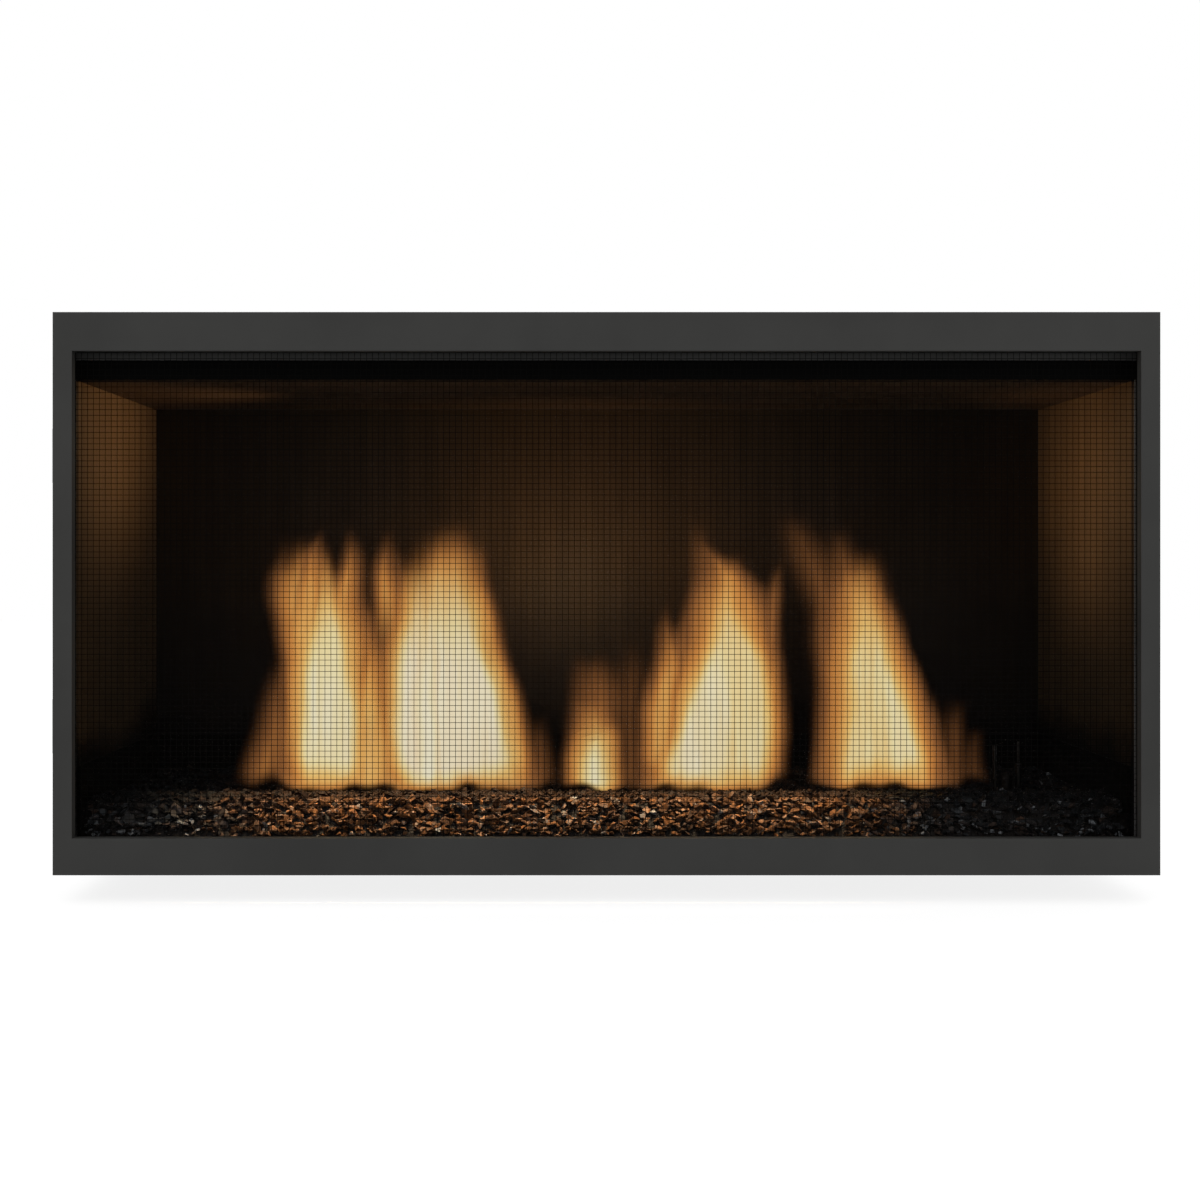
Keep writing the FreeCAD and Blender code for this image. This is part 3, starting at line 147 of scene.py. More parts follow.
class Recipe:
    """One material under construction, with short calls for the nodes that it is made of."""

    def __init__(self, name: str) -> None:
        """Start a node material.

        Args:
            name: The material's name.
        """
        self.material = bpy.data.materials.new(name)
        self.material.use_nodes = True
        self.tree = self.material.node_tree
        self.surface = self.tree.nodes["Principled BSDF"]

    def add(
        self, kind: str, inputs: dict[str | int, object] | None = None, **settings: object
    ) -> bpy.types.Node:
        """Add a node.

        Args:
            kind: Blender's name for the node's type.
            inputs: Values or output sockets for its input sockets.
            **settings: Properties of the node.

        Returns:
            The new node.
        """
        node = self.tree.nodes.new(kind)
        for key, value in settings.items():
            setattr(node, key, value)
        for key, value in (inputs or {}).items():
            self.feed(node.inputs[key], value)
        return node

    def feed(self, socket: bpy.types.NodeSocket, value: object) -> None:
        """Give a socket a constant, or link an output to it.

        Args:
            socket: The input socket.
            value: A number, a colour or an output socket.
        """
        if isinstance(value, bpy.types.NodeSocket):
            self.tree.links.new(value, socket)
        elif isinstance(value, tuple) and socket.type == "RGBA":
            socket.default_value = (*value[:3], 1.0)
        else:
            socket.default_value = value

    def finish(self, **values: object) -> bpy.types.Material:
        """Fill the surface's sockets and hand over the material.

        Args:
            **values: Socket names with underscores for spaces, and their values.

        Returns:
            The finished material.
        """
        for key, value in values.items():
            self.feed(self.surface.inputs[key.replace("_", " ")], value)
        return self.material

    def place(self, stretch: Sequence[float] = (1.0, 1.0, 1.0)) -> bpy.types.NodeSocket:
        """Coordinates in metres in the object's frame, stretched along each axis.

        Args:
            stretch: Factors along X, Y and Z.

        Returns:
            The coordinates' socket.
        """
        spot = self.add("ShaderNodeTexCoord").outputs["Object"]
        mapping = self.add("ShaderNodeMapping", {"Vector": spot, "Scale": tuple(stretch)})
        return mapping.outputs["Vector"]

    def noise(
        self, scale: float, detail: float, stretch: Sequence[float] = (1.0, 1.0, 1.0)
    ) -> bpy.types.NodeSocket:
        """Fractal noise about 0.5, of so many cells per metre and octaves, stretched along each axis."""
        inputs = {"Vector": self.place(stretch), "Scale": scale, "Detail": detail, "Roughness": OCTAVE_SHARE}
        return self.add("ShaderNodeTexNoise", inputs).outputs["Fac"]

    def ramp(
        self, factor: bpy.types.NodeSocket, stops: Sequence[tuple[float, Colour]]
    ) -> bpy.types.NodeSocket:
        """Colours along a factor.

        Args:
            factor: The value that picks the colour.
            stops: Places from 0 to 1 and their colours.

        Returns:
            The colour's socket.
        """
        node = self.add("ShaderNodeValToRGB", {"Fac": factor})
        elements = node.color_ramp.elements
        while len(elements) < len(stops):
            elements.new(1.0)
        for element, (place, colour) in zip(elements, stops):
            element.position = place
            element.color = (*colour, 1.0)
        return node.outputs["Color"]

    def patches(
        self,
        factor: bpy.types.NodeSocket,
        low: Colour,
        high: Colour,
        stops: Sequence[float] = (0.3, 0.7),
    ) -> bpy.types.NodeSocket:
        """Two colours in patches laid out by a factor, with a blend between the two stops."""
        return self.ramp(factor, list(zip(stops, (low, high))))

    def math(
        self, operation: str, first: object, second: object = 0.0, clamp: bool = False
    ) -> bpy.types.NodeSocket:
        """One arithmetic step by Blender's name for it, kept from 0 to 1 if clamp is set."""
        node = self.add("ShaderNodeMath", {0: first, 1: second}, operation=operation, use_clamp=clamp)
        return node.outputs[0]

    def product(self, *factors: object, clamp: bool = False) -> bpy.types.NodeSocket:
        """Several factors multiplied.

        Args:
            *factors: Numbers or sockets, two at least.
            clamp: Whether the result is kept from 0 to 1.

        Returns:
            The result's socket.
        """
        first, *middle, last = factors
        for factor in middle:
            first = self.math("MULTIPLY", first, factor)
        return self.math("MULTIPLY", first, last, clamp=clamp)

    def span(
        self, value: object, low: float, high: float, to_low: float = 0.0, to_high: float = 1.0
    ) -> bpy.types.NodeSocket:
        """A value eased from one range to another.

        Args:
            value: The socket to map.
            low: Where the range starts.
            high: Where the range ends.
            to_low: The result at the start.
            to_high: The result at the end.

        Returns:
            The mapped value's socket.
        """
        inputs = {"Value": value, "From Min": low, "From Max": high, "To Min": to_low, "To Max": to_high}
        node = self.add("ShaderNodeMapRange", inputs, interpolation_type="SMOOTHSTEP")
        return node.outputs["Result"]

    def swing(self, noise: object, low: float, high: float, reach: float = 0.25) -> bpy.types.NodeSocket:
        """A noise's usual range, so far either way from 0.5, eased to the range from low to high."""
        return self.span(noise, 0.5 - reach, 0.5 + reach, low, high)

    def tint(self, colour: object, factor: object) -> bpy.types.NodeSocket:
        """A colour multiplied by a number, each of them a value or a socket."""
        node = self.add("ShaderNodeVectorMath", {0: colour, 1: factor}, operation="MULTIPLY")
        return node.outputs[0]

    def bump(self, height: bpy.types.NodeSocket, depth: float) -> bpy.types.NodeSocket:
        """A normal that follows a height from 0 to 1, where 1 stands for a depth in metres."""
        inputs = {"Height": height, "Distance": depth, "Strength": 1.0}
        return self.add("ShaderNodeBump", inputs).outputs["Normal"]

    def along(self, axis: str) -> bpy.types.NodeSocket:
        """The place along X, Y or Z, in metres."""
        spot = self.add("ShaderNodeTexCoord").outputs["Object"]
        return self.add("ShaderNodeSeparateXYZ", {0: spot}).outputs[axis]

    def stored(self, name: str) -> bpy.types.NodeSocket:
        """The number that a mesh stores at its corners under a name."""
        return self.add("ShaderNodeAttribute", attribute_name=name).outputs["Fac"]


@dataclass(frozen=True)
class PaintedSheet:
    """Folded steel with a baked coat."""

    name: str
    colour: Colour
    rough: float = 0.55
    gloss: float = 0.25
    grain: float = 1400.0
    relief: float = 0.04 * MM
    shades: tuple[float, float] = (0.86, 1.14)
    spread: float = 0.08

    def material(self) -> bpy.types.Material:
        """The coat: a fine orange-peel grain over faint cloudiness.

        Returns:
            The material.
        """
        recipe = Recipe(self.name)
        cloud = recipe.noise(scale=9.0, detail=3.0)
        grain = recipe.noise(scale=self.grain, detail=2.0)
        low, high = (scaled(self.colour, factor) for factor in self.shades)
        return recipe.finish(
            Base_Color=recipe.patches(cloud, low, high),
            Roughness=recipe.swing(grain, self.rough - self.spread, self.rough + self.spread),
            Specular_IOR_Level=self.gloss,
            Normal=recipe.bump(grain, self.relief),
        )


@dataclass(frozen=True)
class FirelitLiner:
    """Firebox panel with a bronze coat, with painted firelight that brightens it towards the top and painted
    shade low down by the burner.
    """

    name: str
    # The top colour holds painted firelight; the panel fades from it to the dark colour between the two
    # heights, and to painted shade at its foot.
    firelit_colour: Colour
    dark: Colour
    low: float
    high: float
    # Half width of a panel that takes painted shade towards its sides; 0 leaves the sides alone.
    half: float = 0.0
    # Painted shade at the panel's foot.
    low_shade: Colour = (0.0022, 0.002, 0.0018)
    stops: tuple[float, ...] = (0.0, 0.03, 0.5, 1.0)
    blend: float = 0.35
    wander: float = 30.0 * MM
    # Painted shade towards the sides: full painted light within this distance of the middle, falling to the
    # dim share at the half width.
    lit: float = 100.0 * MM
    dim: float = 0.42
    brush: tuple[float, float] = (0.85, 1.15)
    rough: tuple[float, float] = (0.42, 0.6)
    relief: float = 0.03 * MM

    def material(self) -> bpy.types.Material:
        """The coat: bronze with painted firelight above and painted shade below, along a cloudy edge, with
        upright brush marks, cloudy changes of gloss and, on a panel given a half width, painted shade towards
        its sides.

        Returns:
            The material.
        """
        recipe = Recipe(self.name)
        gloss_and_shade_cloud = recipe.noise(scale=5.0, detail=4.0)
        brush = recipe.noise(scale=60.0, detail=3.0, stretch=(1.0, 1.0, 0.06))
        wander = recipe.swing(gloss_and_shade_cloud, -self.wander, self.wander, reach=0.3)
        shifted = recipe.math("ADD", recipe.along("Z"), wander)
        # Painted firelight and shade: darkest low by the burner, brightest towards the top.
        rise = recipe.span(shifted, self.low, self.high)
        middle = tuple(self.blend * a + (1 - self.blend) * b for a, b in zip(self.firelit_colour, self.dark))
        tones = (self.low_shade, self.dark, middle, self.firelit_colour)
        shade = recipe.ramp(rise, list(zip(self.stops, tones)))
        # Painted shade towards the panel's sides, around a painted glow in its middle.
        if self.half:
            aside = recipe.math("ABSOLUTE", recipe.along("X"))
            shade = recipe.tint(shade, recipe.span(aside, self.lit, self.half, 1.0, self.dim))
        return recipe.finish(
            Base_Color=recipe.tint(shade, recipe.swing(brush, *self.brush)),
            Roughness=recipe.swing(gloss_and_shade_cloud, *self.rough),
            Specular_IOR_Level=0.06,
            Normal=recipe.bump(brush, self.relief),
        )


@dataclass(frozen=True)
class GalvanisedSheet:
    """Zinc-coated sheet with spangles."""

    name: str
    colour: Colour = (0.41, 0.42, 0.43)
    spangle: float = 85.0
    shades: tuple[float, float] = (0.8, 1.15)
    smears: tuple[float, float] = (0.88, 1.06)
    rough: tuple[float, float] = (0.34, 0.52)
    relief: float = 0.02 * MM

    def material(self) -> bpy.types.Material:
        """The zinc: crystal cells that differ in shade and gloss, under faint handling marks.

        Returns:
            The material.
        """
        recipe = Recipe(self.name)
        inputs = {"Vector": recipe.place(), "Scale": self.spangle}
        cells = recipe.add("ShaderNodeTexVoronoi", inputs, feature="F1").outputs["Color"]
        cell = recipe.add("ShaderNodeSeparateColor", {0: cells}).outputs[0]
        smear = recipe.noise(scale=7.0, detail=5.0)
        low, high = (scaled(self.colour, factor) for factor in self.shades)
        shade = recipe.patches(cell, low, high, stops=(0.0, 1.0))
        return recipe.finish(
            Base_Color=recipe.tint(shade, recipe.swing(smear, *self.smears, reach=0.2)),
            Metallic=0.9,
            Roughness=recipe.span(cell, 0.0, 1.0, *self.rough),
            Normal=recipe.bump(cell, self.relief),
        )


@dataclass(frozen=True)
class DrawnMetal:
    """Bare metal with drawing marks along one axis."""

    name: str
    colour: Colour
    rough: float = 0.3
    marks: tuple[float, float, float] = (0.05, 1.0, 1.0)
    tarnish: float = 0.72
    spread: tuple[float, float] = (-0.08, 0.14)
    relief: float = 0.01 * MM

    def material(self) -> bpy.types.Material:
        """The metal: fine lines and a little tarnish.

        Returns:
            The material.
        """
        recipe = Recipe(self.name)
        lines = recipe.noise(scale=700.0, detail=2.0, stretch=self.marks)
        tarnish = recipe.noise(scale=24.0, detail=4.0)
        dull = scaled(self.colour, self.tarnish)
        low, high = (self.rough + change for change in self.spread)
        return recipe.finish(
            Base_Color=recipe.patches(tarnish, dull, self.colour, stops=(0.3, 0.65)),
            Metallic=1.0,
            Roughness=recipe.swing(lines, low, high, reach=0.3),
            Normal=recipe.bump(lines, self.relief),
        )


@dataclass(frozen=True)
class CastMetal:
    """Die-cast body with a sandy skin."""

    name: str
    colour: Colour
    rough: tuple[float, float] = (0.45, 0.65)
    hollows: float = 0.75
    relief: float = 0.08 * MM

    def material(self) -> bpy.types.Material:
        """The casting: pebbled skin, duller in the hollows.

        Returns:
            The material.
        """
        recipe = Recipe(self.name)
        skin = recipe.noise(scale=900.0, detail=3.0)
        cloud = recipe.noise(scale=30.0, detail=3.0)
        return recipe.finish(
            Base_Color=recipe.patches(cloud, scaled(self.colour, self.hollows), self.colour),
            Metallic=0.85,
            Roughness=recipe.swing(skin, *self.rough),
            Normal=recipe.bump(skin, self.relief),
        )


@dataclass(frozen=True)
class MouldedPlastic:
    """Moulded plastic with a fine texture."""

    name: str
    colour: Colour
    rough: tuple[float, float] = (0.32, 0.5)
    worn: float = 0.8
    relief: float = 0.04 * MM

    def material(self) -> bpy.types.Material:
        """The plastic: spark-eroded grain and faint handling gloss.

        Returns:
            The material.
        """
        recipe = Recipe(self.name)
        grain = recipe.noise(scale=2200.0, detail=2.0)
        wear = recipe.noise(scale=40.0, detail=3.0)
        return recipe.finish(
            Base_Color=recipe.patches(wear, scaled(self.colour, self.worn), self.colour),
            Roughness=recipe.swing(wear, *self.rough, reach=0.2),
            Normal=recipe.bump(grain, self.relief),
        )


@dataclass(frozen=True)
class WovenSeal:
    """Woven glass-fibre seal."""

    name: str
    colour: Colour = (0.045, 0.043, 0.04)
    strands: float = 420.0
    gaps: float = 0.4
    relief: float = 0.3 * MM

    def material(self) -> bpy.types.Material:
        """The seal: crossing strands with a soft sheen.

        Returns:
            The material.
        """
        recipe = Recipe(self.name)
        inputs = {"Vector": recipe.place(), "Scale": self.strands, "Distortion": 1.2}
        weave = recipe.add("ShaderNodeTexWave", inputs, bands_direction="DIAGONAL").outputs["Fac"]
        shadow = scaled(self.colour, self.gaps)
        return recipe.finish(
            Base_Color=recipe.patches(weave, shadow, self.colour, stops=(0.1, 0.8)),
            Roughness=0.9,
            Sheen_Weight=0.2,
            Normal=recipe.bump(weave, self.relief),
        )


@dataclass(frozen=True)
class ClearPane:
    """Clear ceramic glass."""

    name: str
    thin: Colour = (0.016, 0.014, 0.012)
    thick: Colour = (0.024, 0.02, 0.016)
    band: tuple[float, float] = (0.25, 0.8)
    density: tuple[float, float] = (0.02, 0.05)

    def material(self) -> bpy.types.Material:
        """The pane: almost clear, with a slight smoke haze that thickens in patches.

        Returns:
            The material.
        """
        recipe = Recipe(self.name)
        haze = recipe.noise(scale=6.0, detail=4.0)
        return recipe.finish(
            Base_Color=recipe.patches(haze, self.thin, self.thick),
            Alpha=recipe.span(haze, *self.band, *self.density),
            Roughness=0.03,
            Specular_IOR_Level=0.02,
        )


@dataclass(frozen=True)
class CrushedGlass:
    """Broken dark glass."""

    name: str
    dark: Colour = (0.012, 0.0082, 0.0066)
    # Painted firelight on the dark glass: this amber is the chips lit by the flames, and the pale colour
    # after it a painted glint.
    amber: Colour = (0.13, 0.059, 0.024)
    pale: Colour = (0.12, 0.115, 0.112)
    # Share of the painted firelight in the dimmer middle stop.
    dim_firelight_share: float = 0.45
    # Cool grey glass where no firelight is painted, up to a painted grey glint at the top.
    unlit_grey: tuple[Colour, ...] = (
        (0.006, 0.0066, 0.0072),
        (0.02, 0.0215, 0.023),
        (0.047, 0.0515, 0.056),
        (0.2, 0.213, 0.226),
    )
    stops: tuple[float, ...] = (0.0, 0.42, 0.82, 1.0)
    mottle: float = 0.12
    rough: tuple[float, float] = (0.36, 0.56)
    gloss_band: tuple[float, float] = (0.05, 0.35)
    gloss: tuple[float, float] = (0.03, 0.1)
    relief: float = 0.2 * MM

    def material(self) -> bpy.types.Material:
        """The chips: each with its own shade, from dark glass through painted amber firelight to a painted
        glint, or in cool grey where no firelight is painted, glossy and faintly rippled.

        Returns:
            The material.
        """
        recipe = Recipe(self.name)
        shade = recipe.stored("shade")
        ripple = recipe.noise(scale=420.0, detail=3.0)
        mottle = recipe.swing(ripple, -self.mottle, self.mottle, reach=0.2)
        mixed = recipe.math("ADD", shade, mottle, clamp=True)
        # The painted firelight ramp and the cool unlit ramp, mixed by each chip's share of the unlit grey.
        firelit = (self.dark, scaled(self.amber, self.dim_firelight_share), self.amber, self.pale)
        warm, cold = (recipe.ramp(mixed, list(zip(self.stops, tones))) for tones in (firelit, self.unlit_grey))
        mix = recipe.add("ShaderNodeMix", {0: recipe.stored("unlit_share"), 6: warm, 7: cold}, data_type="RGBA")
        return recipe.finish(
            Base_Color=mix.outputs[2],
            Roughness=recipe.swing(ripple, *self.rough, reach=0.2),
            Specular_IOR_Level=recipe.span(shade, *self.gloss_band, *self.gloss),
            Normal=recipe.bump(ripple, self.relief),
        )


@dataclass(frozen=True)
class FlameGas:
    """Burning gas: light with soft edges."""

    name: str
    brightness: float = 1.0
    sway: float = 0.35
    tear: float = 0.12
    fade: tuple[float, float] = (0.54, 1.0)
    close: tuple[float, float] = (0.82, 1.0)
    rim: float = 0.74
    grain: tuple[float, float] = (0.9, 1.08)
    edge_heat: float = 0.28
    cooling: tuple[float, float] = (0.45, 1.1)
    top_heat: float = 0.5
    streaks: tuple[float, float] = (0.84, 1.1)
    root_rise: float = 0.13
    root_heat: float = 0.6
    unrest: float = 0.03
    stops: tuple[tuple[float, Colour], ...] = (
        (0.0, (0.1, 0.04, 0.015)),
        (0.15, (0.26, 0.1, 0.03)),
        (0.3, (0.56, 0.225, 0.052)),
        (0.45, (0.73, 0.38, 0.1)),
        (0.62, (0.79, 0.54, 0.185)),
        (0.82, (0.81, 0.72, 0.4)),
        (1.0, (0.81, 0.77, 0.58)),
    )

    def material(self) -> bpy.types.Material:
        """The flame: pale in the middle, orange at its edges, in upright streaks that fade at the tips.

        Returns:
            The material.
        """
        recipe = Recipe(self.name)
        spot = recipe.add("ShaderNodeTexCoord").outputs["UV"]
        up = recipe.add("ShaderNodeSeparateXYZ", {0: spot}).outputs["Y"]
        edge, heat, body = (recipe.stored(name) for name in ("inward", "warmth", "fullness"))
        streak = recipe.noise(scale=24.0, detail=3.0, stretch=(1.0, 1.0, 0.14))
        lick = recipe.noise(scale=12.0, detail=3.0, stretch=(1.0, 1.0, 0.35))
        fine = recipe.noise(scale=90.0, detail=2.0, stretch=(1.0, 1.0, 0.07))
        sway = recipe.math("MULTIPLY", recipe.swing(lick, -self.sway, self.sway), up)
        swayed = recipe.math("MULTIPLY", edge, recipe.math("ADD", sway, 1.0))
        side = recipe.span(swayed, 0.0, 1.0)
        torn = recipe.math("ADD", up, recipe.swing(streak, -self.tear, self.tear))
        top = recipe.span(torn, *self.fade, 1.0, 0.0)
        closed = recipe.span(up, *self.close, 1.0, 0.0)
        rim = recipe.span(swayed, 0.0, self.rim)
        alpha = recipe.product(rim, top, closed, body, recipe.swing(fine, *self.grain), clamp=True)
        root = recipe.math("ADD", up, recipe.swing(lick, -self.unrest, self.unrest, reach=0.2))
        warm = recipe.product(
            recipe.math("ADD", recipe.math("MULTIPLY", side, 1.0 - self.edge_heat), self.edge_heat),
            recipe.span(torn, *self.cooling, 1.0, self.top_heat),
            recipe.swing(streak, *self.streaks, reach=0.2),
            recipe.span(root, 0.0, self.root_rise, self.root_heat, 1.0),
            heat,
        )
        warm = recipe.math("ADD", warm, recipe.swing(fine, -self.unrest, self.unrest), clamp=True)
        return recipe.finish(
            Base_Color=(0.0, 0.0, 0.0),
            Roughness=1.0,
            Specular_IOR_Level=0.0,
            Emission_Color=recipe.ramp(warm, self.stops),
            Emission_Strength=self.brightness,
            Alpha=alpha,
        )


class Piece:
    """Turns arrays into an object of the scene."""

    @staticmethod
    def arrays(mesh: bmesh.types.BMesh) -> tuple[np.ndarray, np.ndarray]:
        """Cut a mesh into triangles, take its numbers and free it.

        Args:
            mesh: The mesh.

        Returns:
            Its corners, and the corner numbers of its triangles.
        """
        bmesh.ops.triangulate(mesh, faces=mesh.faces[:])
        mesh.verts.index_update()
        corners = np.array([vert.co for vert in mesh.verts])
        triangles = np.array([[vert.index for vert in face.verts] for face in mesh.faces])
        mesh.free()
        return corners, triangles

    @staticmethod
    def joined(shapes: Sequence[tuple[np.ndarray, np.ndarray]]) -> tuple[np.ndarray, np.ndarray]:
        """Put several shapes together.

        Args:
            shapes: Corners and faces of each.

        Returns:
            All the corners, and all the faces counted on from one shape to the next.
        """
        starts = np.cumsum([0] + [len(corners) for corners, _ in shapes])
        faces = [triangles + start for (_, triangles), start in zip(shapes, starts)]
        return np.concatenate([corners for corners, _ in shapes]), np.concatenate(faces)

    @staticmethod
    def mesh(
        name: str,
        points: np.ndarray,
        faces: np.ndarray,
        material: bpy.types.Material,
        body: Body,
        smooth: bool = True,
    ) -> bpy.types.Object:
        """Make a mesh piece that rides on a body.

        Args:
            name: The piece's name.
            points: Corners in metres, one row each.
            faces: Corner numbers, one row for each face.
            material: Its finish.
            body: The body that it moves with.
            smooth: Whether its faces are shaded smooth.

        Returns:
            The new object.
        """
        data = bpy.data.meshes.new(name)
        sides = faces.shape[1]
        data.vertices.add(len(points))
        data.vertices.foreach_set("co", points.astype(np.float32).ravel())
        data.loops.add(faces.size)
        data.loops.foreach_set("vertex_index", faces.astype(np.int32).ravel())
        data.polygons.add(len(faces))
        data.polygons.foreach_set("loop_start", np.arange(0, faces.size, sides, dtype=np.int32))
        data.polygons.foreach_set("use_smooth", np.full(len(faces), smooth))
        data.update(calc_edges=True)
        data.validate()
        data.materials.append(material)
        piece = bpy.data.objects.new(name, data)
        bpy.context.scene.collection.objects.link(piece)
        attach(piece, body.value)
        LOG.info("made %s with %d faces", name, len(faces))
        return piece

    @staticmethod
    def values(piece: bpy.types.Object, name: str, numbers: np.ndarray) -> None:
        """Store one number for each corner of a piece under an attribute's name."""
        attribute = piece.data.attributes.new(name, "FLOAT", "POINT")
        attribute.data.foreach_set("value", numbers.astype(np.float32))


@dataclass
class SafetyScreen:
    """Woven wire screen in the surround's opening."""

    pitch_across: float = 6.3 * MM
    pitch_up: float = 6.04 * MM
    wire: float = 0.6 * MM
    sides: int = 4
    lift: float = 0.42
    finish: PaintedSheet = PaintedSheet(
        "screen_black", (0.0022, 0.0021, 0.002), rough=0.6, gloss=0.03, grain=2600.0, relief=0.02 * MM
    )

    def wires(self, axis: Axis, low: Vector, high: Vector, material: bpy.types.Material) -> bpy.types.Object:
        """Weave the wires of one direction.

        Args:
            axis: Which way they run.
            low: Lowest corner of the screen's sheet.
            high: Highest corner of the screen's sheet.
            material: Their finish.

        Returns:
            The piece with all of them.
        """
        middle = (low.y + high.y) / 2
        across = np.arange(low.x + self.pitch_across / 2, high.x, self.pitch_across)
        upward = np.arange(low.z + self.pitch_up / 2, high.z, self.pitch_up)
        upright = axis is Axis.UPRIGHT
        strands, crossings = (across, upward) if upright else (upward, across)
        start, end = (low.z, high.z) if upright else (low.x, high.x)
        along = np.concatenate([[start], crossings, [end]])
        order = np.arange(len(strands))[:, None] + np.arange(len(along))[None, :]
        sign = np.where(order % 2 == 0, 1.0, -1.0) * (1.0 if upright else -1.0)
        sway = middle + sign * self.wire * self.lift
        sway[:, 0] = middle
        sway[:, -1] = middle
        turns = np.arange(self.sides) * 2 * math.pi / self.sides
        side = np.cos(turns) * self.wire / 2
        depth = np.sin(turns) * self.wire / 2
        shape = (len(strands), len(along), self.sides)
        first = np.broadcast_to(strands[:, None, None] + side, shape)
        second = np.broadcast_to(along[None, :, None], shape)
        y = sway[:, :, None] + depth
        columns = (first, y, second) if upright else (second, y, first)
        points = np.stack(columns, axis=-1).reshape(-1, 3)
        index = np.arange(points.shape[0]).reshape(shape)
        ring = np.roll(index, -1, axis=2)
        quads = np.stack([index[:, :-1], ring[:, :-1], ring[:, 1:], index[:, 1:]], axis=-1)
        quads = quads.reshape(-1, 4)
        if not upright:
            quads = quads[:, ::-1]
        return Piece.mesh(f"screen_wires_{axis.value}", points, quads, material, Body.BARRIER)

    def build(self) -> None:
        """Weave both directions in place of the flat sheet."""
        low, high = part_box("screen_mesh")
        material = self.finish.material()
        for axis in Axis:
            piece = self.wires(axis, low, high, material)
            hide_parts("screen_mesh")


@dataclass
class GlassBed:
    """Crushed glass over the burner and down the bank behind the pane."""

    chips: int = 9000
    kinds: int = 14
    chip_points: int = 9
    breadth: tuple[float, float] = (0.5, 0.8)
    thickness: tuple[float, float] = (0.3, 0.55)
    reach: tuple[float, float] = (0.36, 0.56)
    size: tuple[float, float] = (10.0 * MM, 21.0 * MM)
    least: float = 5.0 * MM
    growth: float = 2.0
    end_growth: float = 1.8
    end_room: float = 3.0 * MM
    front_room: float = 3.0 * MM
    back_room: float = 0.55
    front_share: float = 0.7
    bank: float = 50.0 * MM
    overlap: float = 20.0 * MM
    drop: float = 50.0 * MM
    steepest: float = 0.2
    seat: tuple[float, float] = (-0.2, 0.35)
    tilt: float = 0.38
    shades: tuple[float, float] = (1.6, 1.9)
    # Painted shade on the chips: a darker share at the bed's right end, a near-black share along and behind
    # the crest, and the crest's painted shade reaching further forward at both ends.
    dull: float = 0.55
    crest_shade: float = 0.04
    crest_shade_band: tuple[float, float] = (11.0 * MM, 27.0 * MM)
    right_end_shade: tuple[float, float] = (350.0 * MM, 430.0 * MM)
    end_band: tuple[float, float] = (300.0 * MM, 420.0 * MM)
    end_shade_reach: float = 9.0 * MM
    crest_depth: float = 100.0 * MM
    # Where the chips turn to cool grey glass without painted firelight, towards both ends.
    unlit_ends: tuple[float, ...] = (-490.0 * MM, -350.0 * MM, 280.0 * MM, 390.0 * MM)
    unlit_spread: float = 0.25
    glints: float = 0.42
    glint_size: float = 14.0 * MM
    seed: int = 41
    finish: CrushedGlass = CrushedGlass("crushed_glass")

    def templates(self, rng: np.random.Generator) -> list[tuple[np.ndarray, np.ndarray]]:
        """Shapes of broken glass, as corners and triangles.

        Args:
            rng: The source of their irregularity.

        Returns:
            The shapes, each about one unit across.
        """
        shapes = []
        for _ in range(self.kinds):
            mesh = bmesh.new()
            spread = rng.normal(size=(self.chip_points, 3))
            spread /= np.linalg.norm(spread, axis=1)[:, None]
            stretch = np.array([1.0, rng.uniform(*self.breadth), rng.uniform(*self.thickness)])
            for point in spread * stretch * rng.uniform(*self.reach, size=(self.chip_points, 1)):
                mesh.verts.new(point)
            hull = bmesh.ops.convex_hull(mesh, input=mesh.verts)
            loose = [item for item in hull["geom_interior"] if isinstance(item, bmesh.types.BMVert)]
            bmesh.ops.delete(mesh, geom=loose, context="VERTS")
            shapes.append(Piece.arrays(mesh))
        return shapes

    def spots(self, rng: np.random.Generator) -> np.ndarray:
        """Places on top of the bed's solid.

        Args:
            rng: The source of their scatter.

        Returns:
            One place on its surface for each chip.
        """
        low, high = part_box("glass_media")
        bed = bpy.data.objects["glass_media"]
        crest = low.y + self.bank
        front = (low.y + self.front_room, crest + self.overlap)
        back = (crest, high.y - self.size[1] * self.back_room)
        found = []
        surface = bed.evaluated_get(bpy.context.evaluated_depsgraph_get())
        while len(found) < self.chips:
            x = rng.uniform(low.x + self.end_room, high.x - self.end_room)
            y = rng.uniform(*(front if rng.uniform() < self.front_share else back))
            above = Vector((x, y, high.z + self.drop))
            hit, place, normal, _ = surface.ray_cast(above, Vector((0, 0, -1)))
            if hit and normal.z > self.steepest:
                found.append(place + normal * rng.uniform(*self.seat) * self.size[0])
        return np.array(found)

    def build(self) -> None:
        """Scatter the chips over the bed: amber with painted firelight by the flames, painted shade along and
        behind the crest and at the right end, cool grey without painted firelight at both ends, and a few
        painted glints.
        """
        rng = np.random.default_rng(self.seed)
        grain = np.random.default_rng(self.seed + 1)
        kinds = self.templates(rng)
        low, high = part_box("glass_media")
        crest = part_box("surround_trim")[0].y + self.crest_depth
        chips, shades, unlit_shares = [], [], []
        for spot in self.spots(rng):
            corners, triangles = kinds[rng.integers(self.kinds)]
            turn = Euler((*rng.normal(scale=self.tilt, size=2), rng.uniform(0.0, 2 * math.pi)), "ZYX")
            end = max(min(spot[0] - low.x, high.x - spot[0]), self.end_room)
            room = min(self.least + self.growth * (spot[1] - low.y), self.end_growth * end)
            size = min(rng.uniform(*self.size), room)
            chips.append((corners @ np.array(turn.to_matrix()).T * size + spot, triangles))
